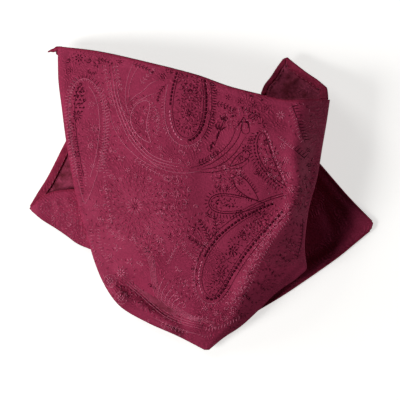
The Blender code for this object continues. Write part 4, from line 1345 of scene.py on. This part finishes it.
for place in ((69.7, 31.3), (70.4, 21.5), (67.7, 13.0), (64.4, 5.2)):
    flower("dark", place, 2.1, 6)
    dots("light", [(place[0] + 2.6, place[1] + 4.2)], 0.8)

# Fringed oval and small drop, side by side above the long drop.
oval = drop((21.9, 14.3), (27.8, 7.1), (36.9, -1.3), 4.0, 0.7)
mark("dark", oval, 0.7)
fringe("dark", part_of(oval, 0.06, 0.94), -2.6, 1.76, 0.7, 0.3)
petals("dark", (25.2, 10.4), 0.46, 2.2, 7, 0.7)
dots("dark", [(28.5, 7.8), (30.4, 5.2), (27.8, 5.2), (31.7, 2.6)], 0.98)
small_drop = drop((5.0, -2.6), (20.0, -3.9), (41.5, -3.9), 6.4, 0.85)
mark("dark", small_drop, 0.8)
fringe("dark", part_of(beside(small_drop, -0.78), 0.3, 0.95), -3.0, 2.0, 0.75, 0.2)
mark("dark", part_of(beside(small_drop, 1.3), 0.2, 0.8), 0.5)
burst((11.5, -2.6), 0.98, 3.6, 0.9, 0.65, ("dark", "dark"), 0.9)
burst((18.7, -3.3), 0.98, 2.9, 0.9, 0.6, ("dark", "dark"), 0.7)
scroll("dark", (10.9, -3.3), 2.3, 20, 1, 0.8)
squares("dark", curve([(14.1, -4.6), (18.0, -5.2), (22.6, -5.9)]), 1.3, 2.0)
dots("dark", [(23.3, -5.9), (25.9, -5.9), (17.4, -2.0), (14.8, -0.7)], 1.04)

# Long drop that leans up to the ridge: two rows of squares, plain lines outside them, and
# flowers, dots and strokes inside.
long_drop = drop((7.1, -66.6), (18.1, -33.3), (59.7, -0.7), 10.8, 0.76)
squares("dark", part_of(long_drop, 0.06, 0.385), 2.1, 2.7)
squares("light", part_of(long_drop, 0.385, 0.52), 1.44, 2.3)
squares("dark", part_of(long_drop, 0.52, 0.95), 2.1, 2.7)
outer = beside(long_drop, -3.0)
mark("dark", part_of(outer, 0.02, 0.4), 0.55)
mark("light", part_of(outer, 0.4, 0.56), 0.55)
mark("dark", part_of(outer, 0.56, 0.98), 0.5)
mark("dark", part_of(beside(outer, -1.44), 0.03, 0.22), 0.5)
fringe("light", part_of(outer, 0.33, 0.62), -2.3, 2.0, 0.5, 0.2)
mark("dark", part_of(beside(long_drop, 1.83), 0.12, 0.88), 0.4)
petals("dark", (13.0, -49.9), 0.78, 3.7, 9, 0.85, 0.2)
petals("dark", (13.0, -49.9), 4.3, 6.1, 14, 0.7)
dots("dark", [(11.6 + 5.55 * math.cos(a), -56.1 - 4.57 * math.sin(a)) for a in spread(0.3, 3.0, 7)], 1.17)
flower("dark", (20.7, -34.0), 3.7, 7)
petals("dark", (26.5, -23.5), 0.52, 2.6, 8, 0.75)
for k in range(7):
    dots("dark", [(14.8 + 0.98 * k, -41.8 + 0.78 * k)], 0.91)
for k in range(8):
    stroke("dark", Vector((22.7 + 3.59 * k, -30.0 + 3.2 * k)), Vector((0.8, -0.3)), 2.9, 0.7)
    dots("dark", [(20.1 + 3.78 * k, -28.1 + 3.0 * k)], 0.91)

# Curls that follow the ridge beside the long drop, drawn light as a painted highlight where the ridge
# turns to the lamp.
ridge_line = curve([(54.5, -9.1), (45.4, -20.9), (36.4, -35.3), (30.0, -49.9), (24.2, -61.9),
        (17.7, -71.4)])
for k, place in enumerate(even(ridge_line, 4.0)):
    hand = 1 if k % 2 else -1
    scroll("light", tuple(place + Vector((1.6 * hand, 0.8 * hand))), 2.1, 60 + 140 * (k % 2), hand, 0.6)
    dots("light", [tuple(place + Vector((-2.2 * hand, 2.0)))], 0.9)
    scroll("light", tuple(place + Vector((-2.6 * hand, -1.4))), 1.57, 200 * (k % 2), -hand, 0.6)
fringe("light", beside(ridge_line, 3.9), 2.0, 2.0, 0.65)
fringe("light", beside(ridge_line, -0.65), 1.7, 1.7, 0.6)
for place in ((63.7, -10.5), (60.4, -23.5), (56.0, -34.0), (49.6, -43.9), (42.5, -53.2), (34.7, -61.9),
        (27.6, -70.7), (20.4, -78.8)):
    burst(place, 0.98, 5.2, 0.7, 0.45, ("dark", "dark"), 1.2)
fringe("dark", curve([(64.4, -15.7), (63.8, -27.4), (60.7, -39.3)]), 2.9, 2.1, 0.6)
tendril("dark", [(66.4, -13.1), (65.8, -27.5), (62.7, -40.6)], 0.4)

# Leaf sprays left of the long drop.
for shape in (
        ([(7.0, -28.7), (3.7, -22.2), (-0.8, -15.6)], 3.3, 2.3, 0.9),
        ([(8.3, -27.4), (9.6, -20.9), (8.9, -13.7)], 3.0, 2.3, 0.85),
        ([(4.4, -32.7), (-2.1, -30.0), (-7.3, -26.1)], 2.6, 2.3, 0.75)):
    sprig("dark", *shape)
sprig("light", [(-0.8, -41.9), (-6.1, -38.0), (-10.6, -34.0)], 2.3, 2.3, 0.6)

# Flower of long fine rays, left of the middle, with scrolls round it.
burst((-43.5, -5.3), 4.6, 18.9, 0.16, 0.42, ("light", "dark"))
petals("dark", (-43.5, -5.3), 0.52, 2.6, 7, 0.75)
petals("light", (-43.5, -5.3), 2.6, 5.9, 14, 0.7, 0.2)
for angle in range(0, 360, 30):
    out = compass(math.radians(angle))
    scroll("light", tuple(Vector((-43.5, -5.3)) + out * 20.2), 1.83, angle + 160, 1, 0.5)
for place, size, angle, hand in (((-23.7, 1.3), 2.86, 30, 1), ((-15.8, 11.1), 2.21, 200, 1),
        ((-11.3, -3.3), 2.6, 120, -1), ((-19.1, -6.6), 2.21, 300, 1), ((-7.3, 5.2), 2.21, 60, 1),
        ((-3.4, -5.9), 1.95, 200, -1)):
    scroll("light", place, size, angle, hand, 0.6)
petals("light", (-16.5, 2.6), 0.65, 3.3, 9, 0.65)
dots("light", [(-17.8, -16.3), (-15.8, -20.3), (-13.9, -23.5), (-11.3, -26.1), (-32.3, -30.8),
        (-31.7, -43.4), (-23.7, -10.5), (-13.2, -11.1), (-28.3, 9.1)], 1.1)
flower("light", (-27.0, -27.5), 2.9, 7)
sprig("light", [(-23.2, -44.7), (-19.2, -37.4), (-15.9, -30.8)], 2.3, 2.3, 0.6)

# Lily of parallel light lines, and the stems that run down to the folded point.
for k in range(5):
    tendril("light", [(-44.5 + 1.44 * k, -29.4), (-38.0 + 1.17 * k, -34.6), (-34.1 + 0.91 * k, -43.1),
            (-32.8 + 0.85 * k, -53.5), (-30.5 + 0.98 * k, -63.3 + 0.52 * k),
            (-25.0 + 0.98 * k, -70.5 + 0.65 * k), (-16.5 + 0.65 * k, -76.4 + 0.78 * k),
            (-4.7, -80.9 + 0.65 * k), (9.6, -83.5 + 0.33 * k)], 0.5)
for k in range(6):
    tendril("light", [(-28.9 + 2.35 * k, -67.2 - 1.7 * k), (-27.9 + 2.48 * k, -60.1 - 2.09 * k),
            (-25.0 + 2.87 * k, -53.5 - 3.0 * k)], 0.6)
    dots("light", [(-24.6 + 2.87 * k, -52.9 - 3.0 * k)], 1.17)
sprig("light", [(-48.1, -27.6), (-56.1, -25.0), (-61.3, -19.7)], 2.6, 2.6, 0.65)
ladder = curve([(-68.7, -18.5), (-68.7, -27.7), (-66.1, -37.0), (-61.6, -43.6)])
fringe("light", ladder, 2.9, 2.0, 0.55)
fringe("light", beside(ladder, -2.6), -2.6, 2.0, 0.5)
flower("light", (-53.0, -49.5), 3.9, 8)
for shift in (0.0, 1.5, -1.5):
    mark("light", beside(curve([(-54.3, -48.9), (-47.1, -56.8), (-39.2, -63.5), (-31.3, -70.8),
            (-22.7, -77.5), (-11.4, -82.2), (3.2, -85.6)]), shift), 0.5, "fine")
fringe("light", curve([(0.5, -88.2), (9.8, -87.6), (19.1, -84.2), (27.0, -79.5)]), 3.3, 2.2, 0.8, 0.5)
sprig("light", [(-10.1, -79.5), (-3.5, -79.5), (3.1, -79.5)], 2.9, 2.6, 0.7)
scroll("light", (-16.7, -65.4), 2.3, 250, 1, 0.6)
scroll("light", (-11.4, -70.7), 2.1, 200, 1, 0.6)
for place in ((-53.1, -66.2), (-60.3, -54.9)):
    flower("light", place, 3.3, 8)
    petals("dark", place, 0.52, 1.7, 6, 0.6)
    circle("light", place, 4.2, 0.5)
sprig("light", [(-28.7, -82.3), (-19.4, -86.3), (-10.1, -88.9)], 2.6, 2.6, 0.7)
tendril("light", [(-34.0, -78.2), (-22.1, -83.6), (-10.1, -88.3), (0.5, -90.9)])
for place, angle in (((-63.0, -51.6), 120), ((-59.0, -58.2), 130), ((-35.3, -80.9), 150),
        ((-25.4, -85.7), 150), ((-14.8, -90.9), 150)):
    scroll("light", place, 2.0, angle, 1, 0.6)
for place in ((2.5, -72.7), (9.8, -76.1), (16.4, -79.5)):
    flower("light", place, 2.2, 6)
fringe("light", curve([(-3.5, -90.2), (1.8, -92.9), (8.5, -91.6)]), 2.0, 2.0, 0.5)

# Patches of short strokes in rings, where the figure is densest.
for place, first, last, lean, squash in (((-19.8, -0.7), 2.61, 11.09, 0.9, 1.2),
        ((-58.7, 38.1), 1.96, 9.13, 0.8, 1.3), ((-36.2, 50.4), 5.87, 11.09, 0.5, 1.5),
        ((-62.0, 75.0), 1.96, 7.83, 0.7, 1.5), ((17.4, 14.3), 1.958, 9.787, 0.8, 0.7),
        ((-66.1, -29.7), 1.96, 7.83, 0.6, 1.6), ((-53.0, -49.5), 3.26, 8.48, 0.5, 1.0),
        ((-55.1, -66.2), 2.61, 5.87, 0.5, 0.6), ((1.1, -22.2), 2.61, 9.13, 0.8, 1.3),
        ((-33.6, -30.8), 1.96, 8.48, 0.9, 0.8), ((-14.0, -60.7), 1.96, 8.48, 0.6, 0.8),
        ((25.2, 52.0), 2.61, 10.44, 0.7, 0.6), ((-3.4, 80.0), 7.83, 11.74, 0.4, 1.2),
        ((36.9, -23.5), 1.96, 7.83, 0.7, 1.0), ((-16.5, -19.6), 1.96, 7.83, 1.0, 1.0),
        ((5.8, -79.5), 1.958, 7.177, 0.5, 0.8), ((64.4, 50.8), 1.3, 6.52, 0.8, 1.6),
        ((53.2, 8.4), 5.22, 9.79, 0.6, 1.5), ((-73.3, -11.2), 1.96, 6.52, 0.7, 1.6),
        ((-33.9, -70.8), 1.96, 5.87, 0.5, 0.6)):
    burst(place, first, last, lean, 0.5, ("light", "dark"), squash)
for place, first, last, squash in (((16.2, -41.9), 1.96, 5.22, 1.0), ((24.0, -30.7), 1.3, 5.22, 0.9),
        ((31.7, -21.5), 1.3, 4.24, 0.8), ((39.5, -13.7), 1.3, 3.26, 0.8), ((11.7, -59.3), 0.65, 5.87, 0.8),
        ((19.5, -41.9), 0.65, 5.87, 0.9), ((9.7, -58.6), 1.96, 4.89, 0.9),
        ((-8.0, 65.8), 3.915, 7.177, 1.0), ((-8.0, 48.2), 1.958, 7.177, 0.7),
        ((-8.0, 76.9), 1.96, 5.22, 1.0), ((43.4, 26.0), 1.96, 5.22, 1.6), ((68.4, 18.3), 1.3, 4.57, 1.8),
        ((65.0, 1.3), 1.3, 4.57, 1.5), ((-82.0, 64.7), 1.3, 3.92, 1.8), ((-82.7, 42.2), 1.3, 3.92, 2.0)):
    burst(place, first, last, 0.5, 0.6, ("dark", "dark"), squash)
for place in ((-48.4, -60.2), (-41.8, -64.8), (-34.6, -69.5), (-27.3, -75.5), (-18.1, -81.6)):
    burst(place, 0.65, 4.6, 0.8, 0.5, ("dark", "light"), 0.8)

# Filling between the large motifs: small flowers, curls and leaf pairs, strewn one by one.
for tone, places in (("dark", ((-86.7, 84.5), (-73.3, 83.0), (-68.7, 88.2), (-53.4, 89.3), (-21.7, 83.6),
        (2.4, 78.1), (7.0, 74.2), (5.7, 55.9), (9.6, 49.4), (20.0, 55.9), (31.7, 53.3), (39.5, 48.1),
        (31.7, 37.7), (35.6, 16.9), (13.5, 13.0), (17.4, 6.5), (9.6, 7.8), (39.5, -10.4), (25.2, -9.1),
        (3.1, -10.4), (-3.4, -19.6), (13.5, -15.6), (-6.1, -45.9), (-3.5, -55.2), (32.0, -48.6),
        (28.2, -64.6), (-35.0, -34.2), (-20.4, -24.9), (-33.8, -58.1))),
        ("light", ((-54.7, 46.0), (-58.7, 31.5), (-52.1, 26.3), (-48.1, 18.4), (-58.7, 14.4), (-64.0, 5.3),
        (-69.3, -5.3), (-66.7, -13.2), (-58.7, -13.2), (-33.6, 13.1), (-23.0, 13.0), (-27.0, -10.5),
        (-34.9, -19.7), (-45.5, -26.3), (-54.8, -32.9), (-60.2, -38.3), (-41.6, -42.1), (-25.8, -35.4),
        (-11.3, -30.1), (-16.6, -46.0), (-10.0, -56.6), (3.1, -30.0), (-53.4, 57.8), (-23.0, 44.4),
        (-27.0, 32.7), (-13.9, 30.0), (-2.1, 32.5), (7.0, 26.0), (14.8, 19.5), (23.9, 16.9), (42.1, 24.7),
        (44.7, 14.3), (-46.9, -42.2), (20.3, -75.4), (7.1, -84.9)))):
    for k, place in enumerate(places):
        if k % 3 == 0:
            flower(tone, place, 2.1, 5, 0.7 * k)
        elif k % 3 == 1:
            scroll(tone, place, 1.83, 70 * k, 1 if k % 2 else -1, 0.65)
            scroll(tone, (place[0] + 2.4, place[1] - 1.4), 1.44, 70 * k + 150, -1 if k % 2 else 1, 0.6)
        else:
            for angle in (0.5, 1.6, 2.7, 4.4):
                out = compass(angle + k)
                stroke(tone, Vector(place) + out * 0.5, out, 2.6, 0.9, 0.15)
for k in range(18):
    stroke("dark", Vector((-87.9, 66.5 - 3.92 * k)), Vector((0.9, 0.4)), 2.2, 0.8)
    stroke("light", Vector((-66.7 + 0.39 * k, 30.0 - 2.74 * k)), Vector((0.9, 0.4)), 2.2, 0.8)

# The same filling on corner D. Corner C lies in deep shadow, where no figure shows.
for place, last in (((-100.5, -6.6), 5.22), ((-90.7, -5.3), 6.52), ((-92.1, -15.9), 5.87),
        ((-81.3, -13.2), 7.177), ((-80.0, -25.1), 5.87)):
    burst(place, 1.3, last, 0.7, 0.5, ("light", "light"), 0.7, "lip")
for place, angle in (((-97.9, -13.3), 60), ((-87.4, -17.2), 160), ((-78.0, -25.1), 200),
        ((-86.7, -5.3), 300)):
    scroll("light", place, 1.83, angle, 1, 0.55, "lip")

FLOAT_LOW, FLOAT_HIGH = 0.78, 1.2     # the tones of a float's grain


def figure_painted_tone(name, tone, specular, roughness):
    """A material for the figure's floats: one tone of painted highlight or painted shade, with the grain
    of its yarns.
    """
    made, tree = new_material(name)
    place = node(tree, "ShaderNodeTexCoord").outputs["Object"]
    yarns = noise_value(tree, place, GRAIN_SCALE, 2.0, 0.7)
    grain = mapped(tree, yarns, 0.3, 0.7, FLOAT_LOW, FLOAT_HIGH)
    toned = node(tree, "ShaderNodeVectorMath", {0: linear(tone)[:3]}, {"Scale": grain}, operation="SCALE")
    shade = node(tree, "ShaderNodeBsdfPrincipled",
                 {"Roughness": roughness, "Specular IOR Level": specular,
                  "Specular Tint": linear(SHEEN_TINT)},
                 {"Base Color": toned.outputs[0]})
    node(tree, "ShaderNodeOutputMaterial", links={"Surface": shade.outputs[0]})
    return made


# Light figure: painted highlight, the floats made bright where they would catch the lamp. Dark figure:
# painted shade, the same floats darkened as if seen from their shaded side.
PAINTED_TONES = {"light": figure_painted_tone("paisley_light", "D86F8E", 0.6, 0.36),
            "dark": figure_painted_tone("paisley_dark", "5A1029", 0.15, 0.5)}
for tone, (verts, faces) in marks.items():
    placed(recalculated(mesh_object("paisley_" + tone, verts, faces, PAINTED_TONES[tone])), "satin_face")
